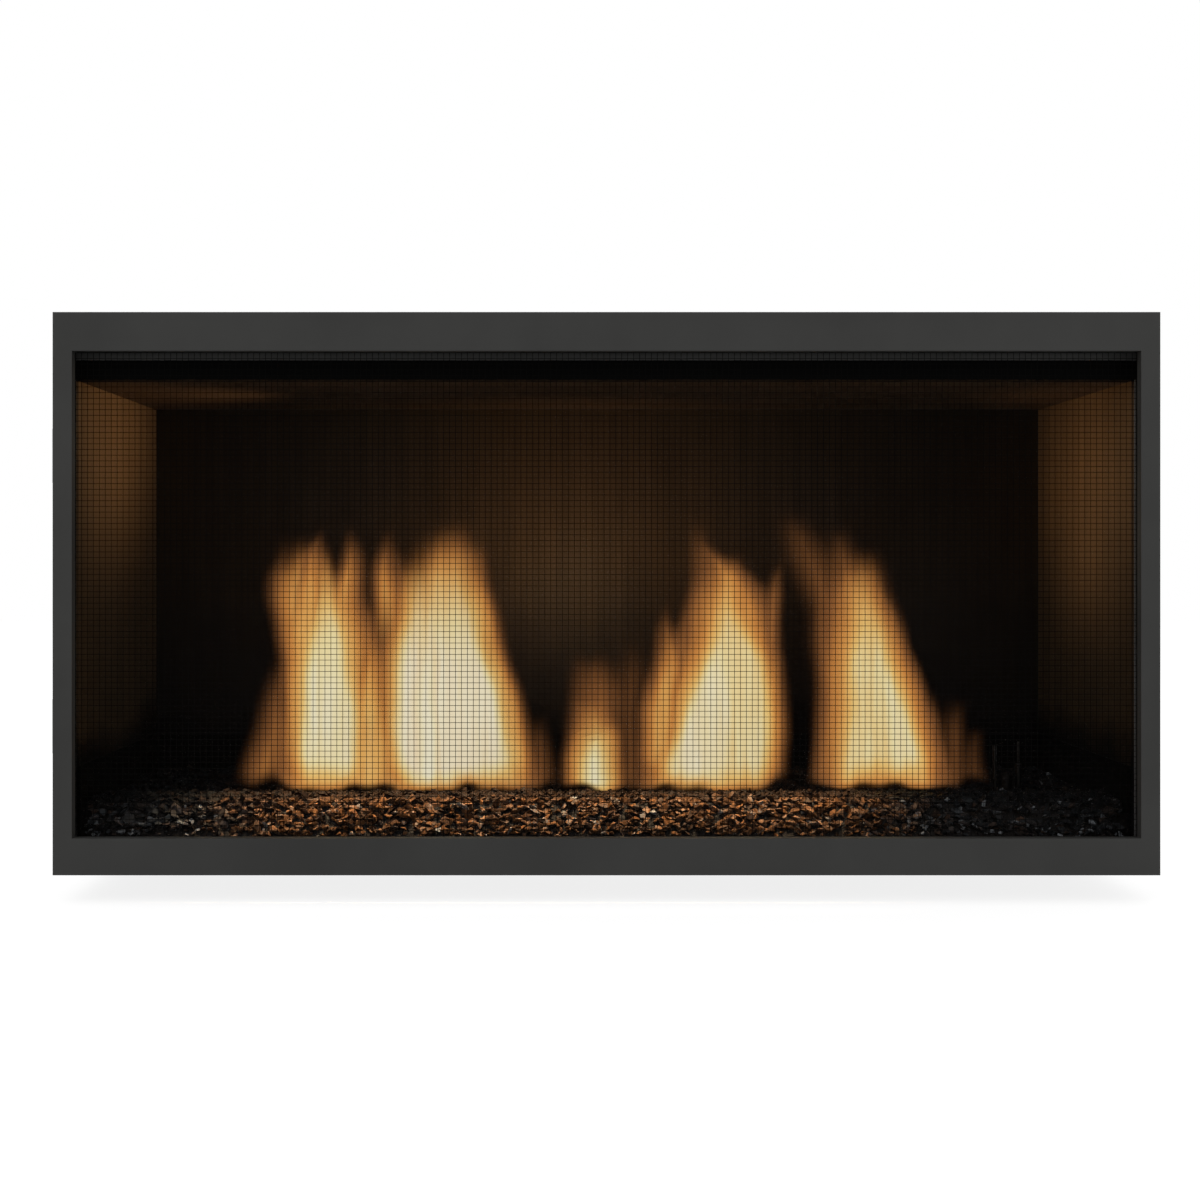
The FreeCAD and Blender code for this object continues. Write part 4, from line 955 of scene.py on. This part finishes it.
            # Painted shade along and behind the crest, further forward at the ends, and at the right end; the
            # beta draw is the chips' own random tone.
            sunk = np.interp(abs(spot[0]), self.end_band, (0.0, self.end_shade_reach))
            unshaded = np.interp(crest - spot[1] - sunk, self.crest_shade_band, (self.crest_shade, 1.0))
            shade = rng.beta(*self.shades) * unshaded * np.interp(spot[0], self.right_end_shade, (1.0, self.dull))
            # Each chip's share of the cool grey that has no painted firelight, more towards the ends.
            unlit_share = np.interp(spot[0], self.unlit_ends, (1.0, 0.0, 0.0, 1.0))
            unlit_share = np.clip(unlit_share + grain.normal(scale=self.unlit_spread), 0.0, 1.0)
            # Some small grey chips in front of the crest take a painted glint.
            if grain.uniform() < self.glints * unlit_share * unshaded and size < self.glint_size:
                shade = 1.0
            shades.append(np.full(len(corners), shade))
            unlit_shares.append(np.full(len(corners), unlit_share))
        shape = Piece.joined(chips)
        piece = Piece.mesh("glass_chips", *shape, self.finish.material(), Body.UNIT, smooth=False)
        Piece.values(piece, "shade", np.concatenate(shades))
        Piece.values(piece, "unlit_share", np.concatenate(unlit_shares))


@dataclass(frozen=True)
class Tongue:
    """One tongue of flame, in millimetres: its visible outline from root to tip, as (height, left, right)."""

    outline: tuple[tuple[float, float, float], ...]
    heat: float
    body: float = 1.0
    back: float = 0.0
    root: float = 16.0
    swell: float = 0.0
    soft: float = 1.0


@dataclass(frozen=True)
class Layer:
    """One sheet of a tongue: its place behind and reach past the outline in millimetres, heat and density."""

    back: float
    margin: float
    heat: float
    body: float


@dataclass
class FlameRow:
    """Flames over the burner, in four clusters, with lengths in millimetres."""

    columns: int = 29
    rows: int = 44
    layers: tuple[Layer, ...] = (
        Layer(back=15.0, margin=15.0, heat=0.28, body=0.6),
        Layer(back=5.0, margin=9.0, heat=0.56, body=0.85),
        Layer(back=-5.0, margin=1.0, heat=0.82, body=0.85),
        Layer(back=-15.0, margin=-6.0, heat=1.0, body=0.8),
    )
    fade: float = 31.0
    bow: float = 5.0
    reach: float = 1.1
    ripple: float = 3.0
    ripple_length: float = 15.0
    lap: float = 4.5
    lap_length: float = 19.0
    second_lap: float = 0.6
    second_rate: float = 2.6
    second_start: float = 1.0
    least_half: float = 2.0
    least_bow: float = 0.15
    smooth: tuple[float, float, float] = (0.25, 0.5, 0.25)
    depth: float = 190.0
    finish: FlameGas = FlameGas("flame_gas")
    clusters: dict[str, tuple[Tongue, ...]] = field(default_factory=lambda: FLAMES)

    def sheet(self, tongue: Tongue, layer: Layer, front_y: float) -> dict[str, np.ndarray]:
        """One bowed sheet that fades out round a tongue's outline.

        Args:
            tongue: The outline.
            layer: Which of its sheets.
            front_y: Where the surround's face is, in metres.

        Returns:
            Its corners in metres, and each one's place on the sheet, density, heat and share of the fade.
        """
        table = np.array(tongue.outline)
        margin = layer.margin * tongue.soft
        up = np.linspace(0.0, 1.0, self.rows)
        height = table[0, 0] + ((table[-1, 0] - table[0, 0]) * self.reach + margin) * up
        left = np.interp(height, table[:, 0], table[:, 1])
        right = np.interp(height, table[:, 0], table[:, 2])
        for edge in (left, right):
            edge[1:-1] = np.convolve(edge, self.smooth, "valid")
        middle = (left + right) / 2 + self.ripple * up * np.sin(height / self.ripple_length + table[0, 1])
        half = np.maximum((right - left) / 2 + margin + tongue.swell, self.least_half)
        across = np.linspace(-1.0, 1.0, self.columns)
        bow = np.sqrt(np.clip(1.0 - across**2, 0.0, 1.0))
        x = middle[:, None] + half[:, None] * across[None, :]
        fatness = np.clip(half / half.max(), self.least_bow, 1.0)
        y = self.depth + layer.back + tongue.back - self.bow * bow[None, :] * fatness[:, None]
        z = np.repeat(height[:, None], self.columns, axis=1)
        second = self.second_lap * np.sin(self.second_rate * x / self.lap_length + self.second_start)
        lap = self.lap * (np.sin(x / self.lap_length) + second)
        grown = np.clip((z - table[0, 0] + lap) / tongue.root, 0.0, 1.0)
        grown *= np.clip(up * self.rows, 0.0, 1.0)[:, None]
        dense = tongue.body * layer.body * grown * grown * (3 - 2 * grown)
        inset = half[:, None] * (1.0 - np.abs(across))[None, :]
        inward = np.clip(inset / (self.fade * tongue.soft), 0.0, 1.0)
        return {
            "points": np.stack([x * MM, front_y + y * MM, z * MM], axis=-1).reshape(-1, 3),
            "places": np.stack(np.meshgrid((across + 1) / 2, up), axis=-1).reshape(-1, 2),
            "fullness": dense.ravel(),
            "warmth": np.full(z.size, tongue.heat * layer.heat),
            "inward": inward.ravel(),
        }

    def build(self) -> None:
        """Make each cluster from bowed sheets, wide and dim at the back, narrow and hot in front."""
        front_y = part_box("surround_trim")[0].y
        material = self.finish.material()
        grid = np.arange(self.rows * self.columns).reshape(self.rows, self.columns)
        quads = np.stack([grid[:-1, :-1], grid[:-1, 1:], grid[1:, 1:], grid[1:, :-1]], axis=-1)
        quads = quads.reshape(-1, 4)
        for name, tongues in self.clusters.items():
            sheets = [self.sheet(tongue, layer, front_y) for tongue in tongues for layer in self.layers]
            whole = {key: np.concatenate([sheet[key] for sheet in sheets]) for key in sheets[0]}
            points, faces = Piece.joined([(sheet["points"], quads) for sheet in sheets])
            piece = Piece.mesh(name, points, faces, material, Body.UNIT)
            for key in ("fullness", "warmth", "inward"):
                Piece.values(piece, key, whole[key])
            flow = piece.data.uv_layers.new(name="flow")
            corners = np.zeros(len(piece.data.loops), dtype=np.int32)
            piece.data.loops.foreach_get("vertex_index", corners)
            flow.data.foreach_set("uv", whole["places"][corners].astype(np.float32).ravel())
            piece.visible_shadow = False
            piece.visible_diffuse = False


FLAMES: dict[str, tuple[Tongue, ...]] = {
    "flame_left": (
        Tongue(  # low glow along the roots
            ((94, -388, -76), (112, -384, -82), (150, -378, -96), (190, -372, -108)),
            heat=0.42, body=0.85, back=3.0, root=14.0,
        ),
        Tongue(  # flare at the far left
            ((95, -430, -366), (130, -420, -362), (170, -408, -360), (215, -394, -364), (250, -384, -368)),
            heat=0.26, body=0.45, back=4.0, root=24.0,
        ),
        Tongue(  # left body
            (
                (95, -376, -280), (166, -374, -276), (245, -374, -272), (276, -383, -276),
                (312, -391, -285), (345, -390, -296), (364, -384, -303),
            ),
            heat=0.65, back=2.0,
        ),
        Tongue(  # glow between the bodies
            ((95, -310, -230), (166, -306, -236), (230, -300, -246), (292, -290, -257)),
            heat=0.63, body=0.9, back=3.5,
        ),
        Tongue(  # left tip
            ((250, -372, -322), (330, -368, -317), (365, -354, -321), (394, -336, -328)),
            heat=0.42, body=0.75, back=1.0, root=80.0, soft=0.62,
        ),
        Tongue(  # middle tip
            ((250, -330, -278), (330, -320, -280), (375, -308, -285), (404, -299, -293)),
            heat=0.42, body=0.7, back=1.5, root=100.0, soft=0.62,
        ),
        Tongue(  # left core
            ((100, -356, -280), (166, -358, -281), (215, -356, -285), (276, -350, -294), (360, -338, -304)),
            heat=0.94, swell=17.0,
        ),
        Tongue(  # right body
            (
                (94, -268, -80), (123, -268, -88), (166, -268, -95), (215, -267, -105), (282, -258, -129),
                (337, -251, -139), (368, -247, -144), (384, -243, -149),
            ),
            heat=0.44, body=0.95, back=-1.0,
        ),
        Tongue(  # right tip
            ((250, -276, -226), (330, -271, -232), (370, -266, -240), (394, -261, -252)),
            heat=0.42, body=0.7, back=-2.0, root=100.0, soft=0.62,
        ),
        Tongue(  # right core
            (
                (99, -238, -90), (123, -244, -96), (166, -248, -105), (215, -247, -118), (276, -240, -138),
                (360, -228, -152),
            ),
            heat=1.0, back=-2.5, swell=15.0,
        ),
        Tongue(  # white heart
            ((98, -222, -180), (200, -225, -184), (300, -226, -188)),
            heat=1.15, body=0.55, back=-3.5, swell=8.0,
        ),
        Tongue(  # wisp at the right
            ((93, -94, -56), (116, -87, -59), (146, -81, -64), (170, -77, -68)),
            heat=0.26, body=0.45, back=4.5,
        ),
    ),
    "flame_small": (
        Tongue(  # body
            ((92, -37, 24), (130, -37, 23), (172, -36, 23), (215, -35, 25), (242, -31, 22)),
            heat=0.27, body=0.44, back=1.0,
        ),
        Tongue(  # core
            ((93, -28, 12), (130, -27, 9), (155, -22, 5), (188, -14, -3)),
            heat=1.1, root=10.0, swell=13.0,
        ),
        Tongue(  # smoky wisp
            ((92, 18, 47), (130, 23, 45), (180, 25, 44), (230, 21, 46), (255, 29, 44)),
            heat=0.2, body=0.4, back=3.0, root=24.0,
        ),
    ),
    "flame_middle": (
        Tongue(  # low glow along the roots
            ((93, 40, 210), (110, 44, 208), (150, 55, 207), (190, 63, 205)),
            heat=0.42, body=0.85, back=3.0, root=14.0,
        ),
        Tongue(  # left tip
            ((110, 42, 90), (186, 45, 96), (239, 59, 100), (275, 67, 94), (302, 74, 82)),
            heat=0.42, body=0.75, back=0.5, root=40.0, soft=0.62,
        ),
        Tongue(  # body
            (
                (94, 48, 204), (154, 60, 205), (200, 64, 206), (240, 78, 207), (276, 95, 208),
                (305, 105, 205), (335, 109, 189), (362, 109, 160), (388, 111, 126),
            ),
            heat=0.46, back=1.0,
        ),
        Tongue(  # core
            (
                (98, 66, 199), (130, 70, 200), (154, 78, 202), (215, 99, 201), (246, 109, 195),
                (276, 118, 181), (350, 127, 156),
            ),
            heat=0.88, back=-1.0, swell=14.0,
        ),
        Tongue(  # right tip
            ((200, 184, 207), (290, 187, 209), (325, 194, 216), (354, 204, 213)),
            heat=0.38, body=0.75, root=70.0, soft=0.62,
        ),
    ),
    "flame_right": (
        Tongue(  # low glow along the roots
            ((96, 254, 414), (112, 258, 410), (150, 263, 400), (190, 267, 392)),
            heat=0.4, body=0.85, back=3.0, root=14.0,
        ),
        Tongue(  # body
            (
                (97, 257, 409), (130, 259, 405), (184, 261, 390), (257, 260, 363), (318, 260, 332),
                (345, 263, 316),
            ),
            heat=0.53, body=0.95, back=1.0,
        ),
        Tongue(  # dim top
            ((240, 262, 322), (320, 260, 316), (360, 258, 308), (398, 264, 294)),
            heat=0.24, body=0.33, back=2.0, root=90.0,
        ),
        Tongue(  # core
            (
                (102, 272, 393), (130, 277, 385), (184, 281, 365), (215, 282, 354), (257, 283, 342),
                (306, 286, 332), (352, 292, 322),
            ),
            heat=0.82, back=-1.0, swell=16.0,
        ),
        Tongue(  # arc that leans left
            ((200, 258, 296), (306, 245, 288), (350, 230, 276), (375, 217, 262), (405, 204, 244)),
            heat=0.2, body=0.28, back=4.0, root=80.0,
        ),
        Tongue(  # right tip
            ((230, 322, 352), (290, 322, 347), (322, 322, 337), (342, 325, 329)),
            heat=0.36, body=0.5, root=60.0, soft=0.62,
        ),
        Tongue(  # near wisp
            ((95, 402, 430), (130, 405, 428), (165, 412, 428), (190, 418, 427)),
            heat=0.28, body=0.45, back=4.5,
        ),
        Tongue(  # far wisp
            ((95, 430, 454), (118, 434, 450), (150, 439, 446)),
            heat=0.2, body=0.4, back=2.0,
        ),
    ),
}


@dataclass
class SheetScrews:
    """Hexagonal sheet screws along the casing's edges."""

    head: float = 4.0 * MM
    head_sides: int = 6
    head_taper: float = 0.88
    washer: float = 6.2 * MM
    washer_sides: int = 20
    washer_taper: float = 0.94
    washer_rise: float = 0.7 * MM
    rise: float = 3.4 * MM
    margin: float = 12.0 * MM
    corner_gap: float = 60.0 * MM
    front_gap: float = 36.0 * MM
    level_count: int = 9
    upright_count: int = 4
    side_count: int = 5
    finish: DrawnMetal = DrawnMetal("zinc_screws", (0.34, 0.33, 0.31), rough=0.34)

    def profile(self) -> tuple[np.ndarray, np.ndarray]:
        """Shape one screw's head along +Z.

        Returns:
            Its corners and its triangles.
        """
        mesh = bmesh.new()
        for radius, start, end, sides, taper in (
            (self.washer, 0.0, self.washer_rise, self.washer_sides, self.washer_taper),
            (self.head, self.washer_rise, self.rise, self.head_sides, self.head_taper),
        ):
            made = bmesh.ops.create_cone(
                mesh,
                cap_ends=True,
                segments=sides,
                radius1=radius,
                radius2=radius * taper,
                depth=end - start,
            )
            bmesh.ops.translate(mesh, verts=made["verts"], vec=(0, 0, (start + end) / 2))
        return Piece.arrays(mesh)

    def spots(self) -> list[tuple[Vector, Vector]]:
        """Find where the heads sit.

        Returns:
            The place of each one and the way that it faces.
        """
        low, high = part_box("casing_back")
        side_low, side_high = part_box("casing_right")
        back = Vector((0, 1, 0))
        columns = (low.x + self.margin, high.x - self.margin)
        rows = (low.z + self.margin, high.z - self.margin)
        places = []
        for x in np.linspace(*columns, self.level_count):
            places.extend((Vector((x, high.y, z)), back) for z in rows)
        for z in np.linspace(low.z + self.corner_gap, high.z - self.corner_gap, self.upright_count):
            places.extend((Vector((x, high.y, z)), back) for x in columns)
        for y in np.linspace(side_low.y + self.front_gap, side_high.y - self.margin, self.side_count):
            for way in (-1, 1):
                place = Vector((way * side_high.x, y, side_high.z - self.margin))
                places.append((place, Vector((way, 0, 0))))
        return places

    def build(self) -> None:
        """Set all the heads on the casing."""
        corners, triangles = self.profile()
        heads = []
        for place, way in self.spots():
            turn = np.array(way.to_track_quat("Z", "Y").to_matrix())
            heads.append((corners @ turn.T + np.array(place), triangles))
        shape = Piece.joined(heads)
        piece = Piece.mesh("casing_screw_heads", *shape, self.finish.material(), Body.UNIT, smooth=False)


@dataclass
class Cabinet:
    """Every solid of the frame and the finish that it wears."""

    trim: PaintedSheet = PaintedSheet("charcoal_coat", (0.036, 0.036, 0.0342), rough=0.5, gloss=0.26)
    black: PaintedSheet = PaintedSheet("stove_black", (0.0022, 0.0022, 0.0021), rough=0.7, gloss=0.03)
    strip: PaintedSheet = PaintedSheet("lintel_grey", (0.085, 0.085, 0.082), rough=0.6, gloss=0.12)
    # The liners' colours hold painted firelight, brighter high up, with painted shade low down.
    side_liner: FirelitLiner = FirelitLiner(
        "bronze_side_liner", firelit_colour=(0.165, 0.096, 0.046), dark=(0.043, 0.027, 0.0145), low=0.14, high=0.6
    )
    # The back liner's painted firelight also falls off towards its sides as painted shade.
    back_liner: FirelitLiner = FirelitLiner(
        "bronze_back_liner",
        firelit_colour=(0.04, 0.0225, 0.0098),
        dark=(0.0085, 0.006, 0.004),
        low=0.14,
        high=0.4,
        half=0.5,
    )
    baffle: FirelitLiner = FirelitLiner(
        "bronze_baffle", firelit_colour=(0.07, 0.041, 0.022), dark=(0.07, 0.041, 0.022), low=0.2, high=0.5
    )
    zinc: GalvanisedSheet = GalvanisedSheet("galvanised_sheet")
    stainless: DrawnMetal = DrawnMetal("stainless_sheet", (0.56, 0.55, 0.53), rough=0.32)
    brass: DrawnMetal = DrawnMetal("turned_brass", (0.68, 0.47, 0.18), rough=0.28)
    tube: DrawnMetal = DrawnMetal("aluminium_tube", (0.72, 0.73, 0.74), rough=0.3)
    cast: CastMetal = CastMetal("cast_aluminium", (0.52, 0.53, 0.54))
    plastic: MouldedPlastic = MouldedPlastic("black_plastic", (0.018, 0.018, 0.019))
    scorched: DrawnMetal = DrawnMetal("scorched_steel", (0.022, 0.02, 0.019), rough=0.5)
    seal: WovenSeal = WovenSeal("woven_seal")
    pane: ClearPane = ClearPane("ceramic_pane")
    bright_zinc: DrawnMetal = DrawnMetal("zinc_steel", (0.6, 0.6, 0.58), rough=0.36)
    bed: PaintedSheet = PaintedSheet(
        "glass_bed", (0.004, 0.003, 0.0025), rough=0.5, gloss=0.1, grain=260.0, relief=1.2 * MM
    )

    def wardrobe(self) -> list[tuple[object, tuple[str, ...]]]:
        """List what the nodes wear.

        Returns:
            The finishes, and the nodes that wear each one.
        """
        return [
            (self.trim, ("surround_trim",)),
            (self.strip, ("heat_lintel",)),
            (
                self.black,
                (
                    "screen_mesh", "screen_retainer", "front_sill", "door_frame", "media_skirt",
                    "firebox_header", "firebox_floor", "firebox_left", "firebox_right", "firebox_back",
                ),
            ),
            (self.side_liner, ("liner_left", "liner_right")),
            (self.back_liner, ("liner_back",)),
            (self.baffle, ("ceiling_baffle",)),
            (
                self.zinc,
                (
                    "casing_left", "casing_right", "casing_top", "casing_back", "base_pan", "base_skids",
                    "nailing_flanges", "top_standoffs", "flue_outer_collar", "valve_bracket",
                    "firebox_top", "restrictor_guides",
                ),
            ),
            (
                self.stainless,
                (
                    "flue_inner_collar", "restrictor_plate", "relief_flap_left", "relief_flap_right",
                    "door_latch_springs", "burner", "burner_venturi", "air_shutter", "barrier_clips",
                ),
            ),
            (self.bright_zinc, ("flap_hinges", "door_hooks", "barrier_tabs", "shutoff_lever")),
            (self.brass, ("gas_orifice", "orifice_holder", "shutoff_valve")),
            (self.tube, ("supply_tube", "pilot_line", "inlet_pipe")),
            (self.cast, ("gas_valve",)),
            (self.plastic, ("gas_knob", "flame_knob", "ignition_module", "rocker_switch")),
            (self.scorched, ("pilot_burner", "flame_sensor", "spark_electrode")),
            (self.seal, ("glass_gasket",)),
            (self.pane, ("door_glass",)),
            (self.bed, ("glass_media",)),
        ]

    def build(self, nodes: dict[str, bpy.types.Object]) -> None:
        """Dress every node.

        Args:
            nodes: The frame's objects by name.
        """
        left = set(nodes)
        for finish, names in self.wardrobe():
            material = finish.material()
            for name in names:
                data = nodes[name].data
                data.materials.clear()
                data.materials.append(material)
                left.discard(name)
            LOG.info("dressed %s in %s", ", ".join(names), material.name)
        if left:
            LOG.warning("no finish for %s", sorted(left))


@dataclass(frozen=True)
class Glow:
    """One warm lamp: its place and aim as (x, depth, height) in millimetres, its power and its cone."""

    name: str
    place: tuple[float, float, float]
    aim: tuple[float, float, float]
    power: float
    cone: float


@dataclass
class FireGlow:
    """Warm lamps in the firebox that stand for the light of the flames. bed_place is in millimetres."""

    colour: Colour = (1.0, 0.72, 0.42)
    radius: float = 40.0 * MM
    lamps: tuple[Glow, ...] = (
        Glow("glow_left", (-330.0, 190.0, 470.0), (-572.0, 190.0, 505.0), power=1.25, cone=96.0),
        Glow("glow_right", (350.0, 190.0, 380.0), (572.0, 190.0, 430.0), power=1.15, cone=104.0),
        Glow("glow_back", (-40.0, 160.0, 340.0), (-40.0, 371.0, 350.0), power=1.5, cone=160.0),
    )
    bed_power: float = 1.3
    bed_place: tuple[float, float, float] = (-75.0, 58.0, 330.0)
    bed_lean: float = 0.1
    bed_size: tuple[float, float] = (0.74, 0.03)
    bed_spread: float = 42.0

    def build(self) -> None:
        """Hang the lamps over the burner."""
        front = Vector((0.0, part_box("surround_trim")[0].y, 0.0))
        for glow in self.lamps:
            lamp = bpy.data.lights.new(glow.name, "SPOT")
            lamp.energy = glow.power
            lamp.spot_size = math.radians(glow.cone)
            lamp.spot_blend = 1.0
            lamp.shadow_soft_size = self.radius
            lamp.color = self.colour
            holder = hang(lamp, front + Vector(glow.place) * MM, front + Vector(glow.aim) * MM)
            holder.visible_camera = False
        lamp = bpy.data.lights.new("glow_bed", "AREA")
        lamp.shape = "RECTANGLE"
        lamp.size, lamp.size_y = self.bed_size
        lamp.energy = self.bed_power
        lamp.spread = math.radians(self.bed_spread)
        lamp.color = self.colour
        place = front + Vector(self.bed_place) * MM
        hang(lamp, place, place + Vector((0.0, self.bed_lean, -1.0))).visible_camera = False


@dataclass(frozen=True)
class SoftLamp:
    """One lamp of the studio: its place and size in metres, and its power."""

    name: str
    place: tuple[float, float, float]
    power: float
    size: float


@dataclass
class Studio:
    """Floor, soft light, white surroundings and the camera."""

    distance: float = 1.6
    aside: float = -0.0516
    eye: float = 0.3656
    lens: float = 45.55
    sensor: float = 36.0
    shift: tuple[float, float] = (0.0354, -0.0342)
    ambient: float = 0.55
    floor_size: float = 14.0
    floor_drop: float = 0.5 * MM
    floor_greys: tuple[float, float] = (0.3, 0.34)
    floor_glow: float = 0.84
    target: tuple[float, float, float] = (0.0, 0.0, 0.33)
    soft_lamps: tuple[SoftLamp, ...] = (
        SoftLamp("key", (-1.9, -2.6, 2.6), power=34.0, size=2.2),
        SoftLamp("fill", (2.4, -2.2, 1.5), power=16.0, size=2.4),
        SoftLamp("rear", (0.6, 2.8, 2.4), power=26.0, size=2.4),
    )
    see_through: int = 48

    def floor(self) -> None:
        """Lay a pale floor that keeps a faint shadow."""
        recipe = Recipe("pale_floor")
        output = recipe.tree.nodes["Material Output"]
        tooth = recipe.noise(scale=180.0, detail=3.0)
        recipe.finish(
            Base_Color=recipe.patches(tooth, *map(grey, self.floor_greys)),
            Roughness=0.9,
            Specular_IOR_Level=0.0,
        )
        strength = recipe.math("MULTIPLY", seen(recipe.tree), self.floor_glow)
        light = recipe.add("ShaderNodeEmission", {"Color": grey(1.0), "Strength": strength})
        both = recipe.add("ShaderNodeAddShader", {0: recipe.surface.outputs[0], 1: light.outputs[0]})
        recipe.tree.links.new(both.outputs[0], output.inputs["Surface"])
        mesh = bpy.data.meshes.new("floor")
        shape = bmesh.new()
        bmesh.ops.create_grid(shape, x_segments=1, y_segments=1, size=self.floor_size / 2)
        shape.to_mesh(mesh)
        shape.free()
        mesh.materials.append(recipe.material)
        floor = bpy.data.objects.new("floor", mesh)
        floor.location.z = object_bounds()[0][2] - self.floor_drop
        bpy.context.scene.collection.objects.link(floor)
        floor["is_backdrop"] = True

    def surroundings(self) -> None:
        """Make the world white to the eye and softer as a light."""
        world = bpy.data.worlds.new("studio")
        bpy.context.scene.world = world
        world.use_nodes = True
        tree = world.node_tree
        level = tree.nodes.new("ShaderNodeMapRange")
        level.inputs["To Min"].default_value = self.ambient
        level.inputs["To Max"].default_value = 1.0
        tree.links.new(seen(tree), level.inputs["Value"])
        backdrop = tree.nodes["Background"]
        backdrop.inputs["Color"].default_value = (*grey(1.0), 1.0)
        tree.links.new(level.outputs["Result"], backdrop.inputs["Strength"])

    def lamps(self) -> None:
        """Hang soft lamps round the object."""
        for soft in self.soft_lamps:
            lamp = bpy.data.lights.new(soft.name, "AREA")
            lamp.energy = soft.power
            lamp.size = soft.size
            hang(lamp, Vector(soft.place), Vector(self.target)).visible_glossy = False

    def camera(self) -> None:
        """Stand the camera straight in front."""
        front_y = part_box("surround_trim")[0].y
        lens = bpy.data.cameras.new("camera")
        lens.lens = self.lens
        lens.sensor_width = self.sensor
        lens.shift_x, lens.shift_y = self.shift
        holder = bpy.data.objects.new("camera", lens)
        holder.location = (self.aside, front_y - self.distance, self.eye)
        holder.rotation_euler = (math.radians(90.0), 0.0, 0.0)
        bpy.context.scene.collection.objects.link(holder)
        bpy.context.scene.camera = holder

    def build(self) -> None:
        """Set the whole studio up."""
        self.floor()
        self.surroundings()
        self.lamps()
        self.camera()
        scene = bpy.context.scene
        scene.view_settings.view_transform = "Standard"
        scene.cycles.transparent_max_bounces = self.see_through


def main() -> None:
    """Build every sub-assembly in order."""
    logging.basicConfig(level=logging.INFO, format="%(message)s")
    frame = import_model()
    Cabinet().build(frame["nodes"])
    SafetyScreen().build()
    GlassBed().build()
    FlameRow().build()
    SheetScrews().build()
    FireGlow().build()
    Studio().build()


if __name__ == "__main__":
    main()
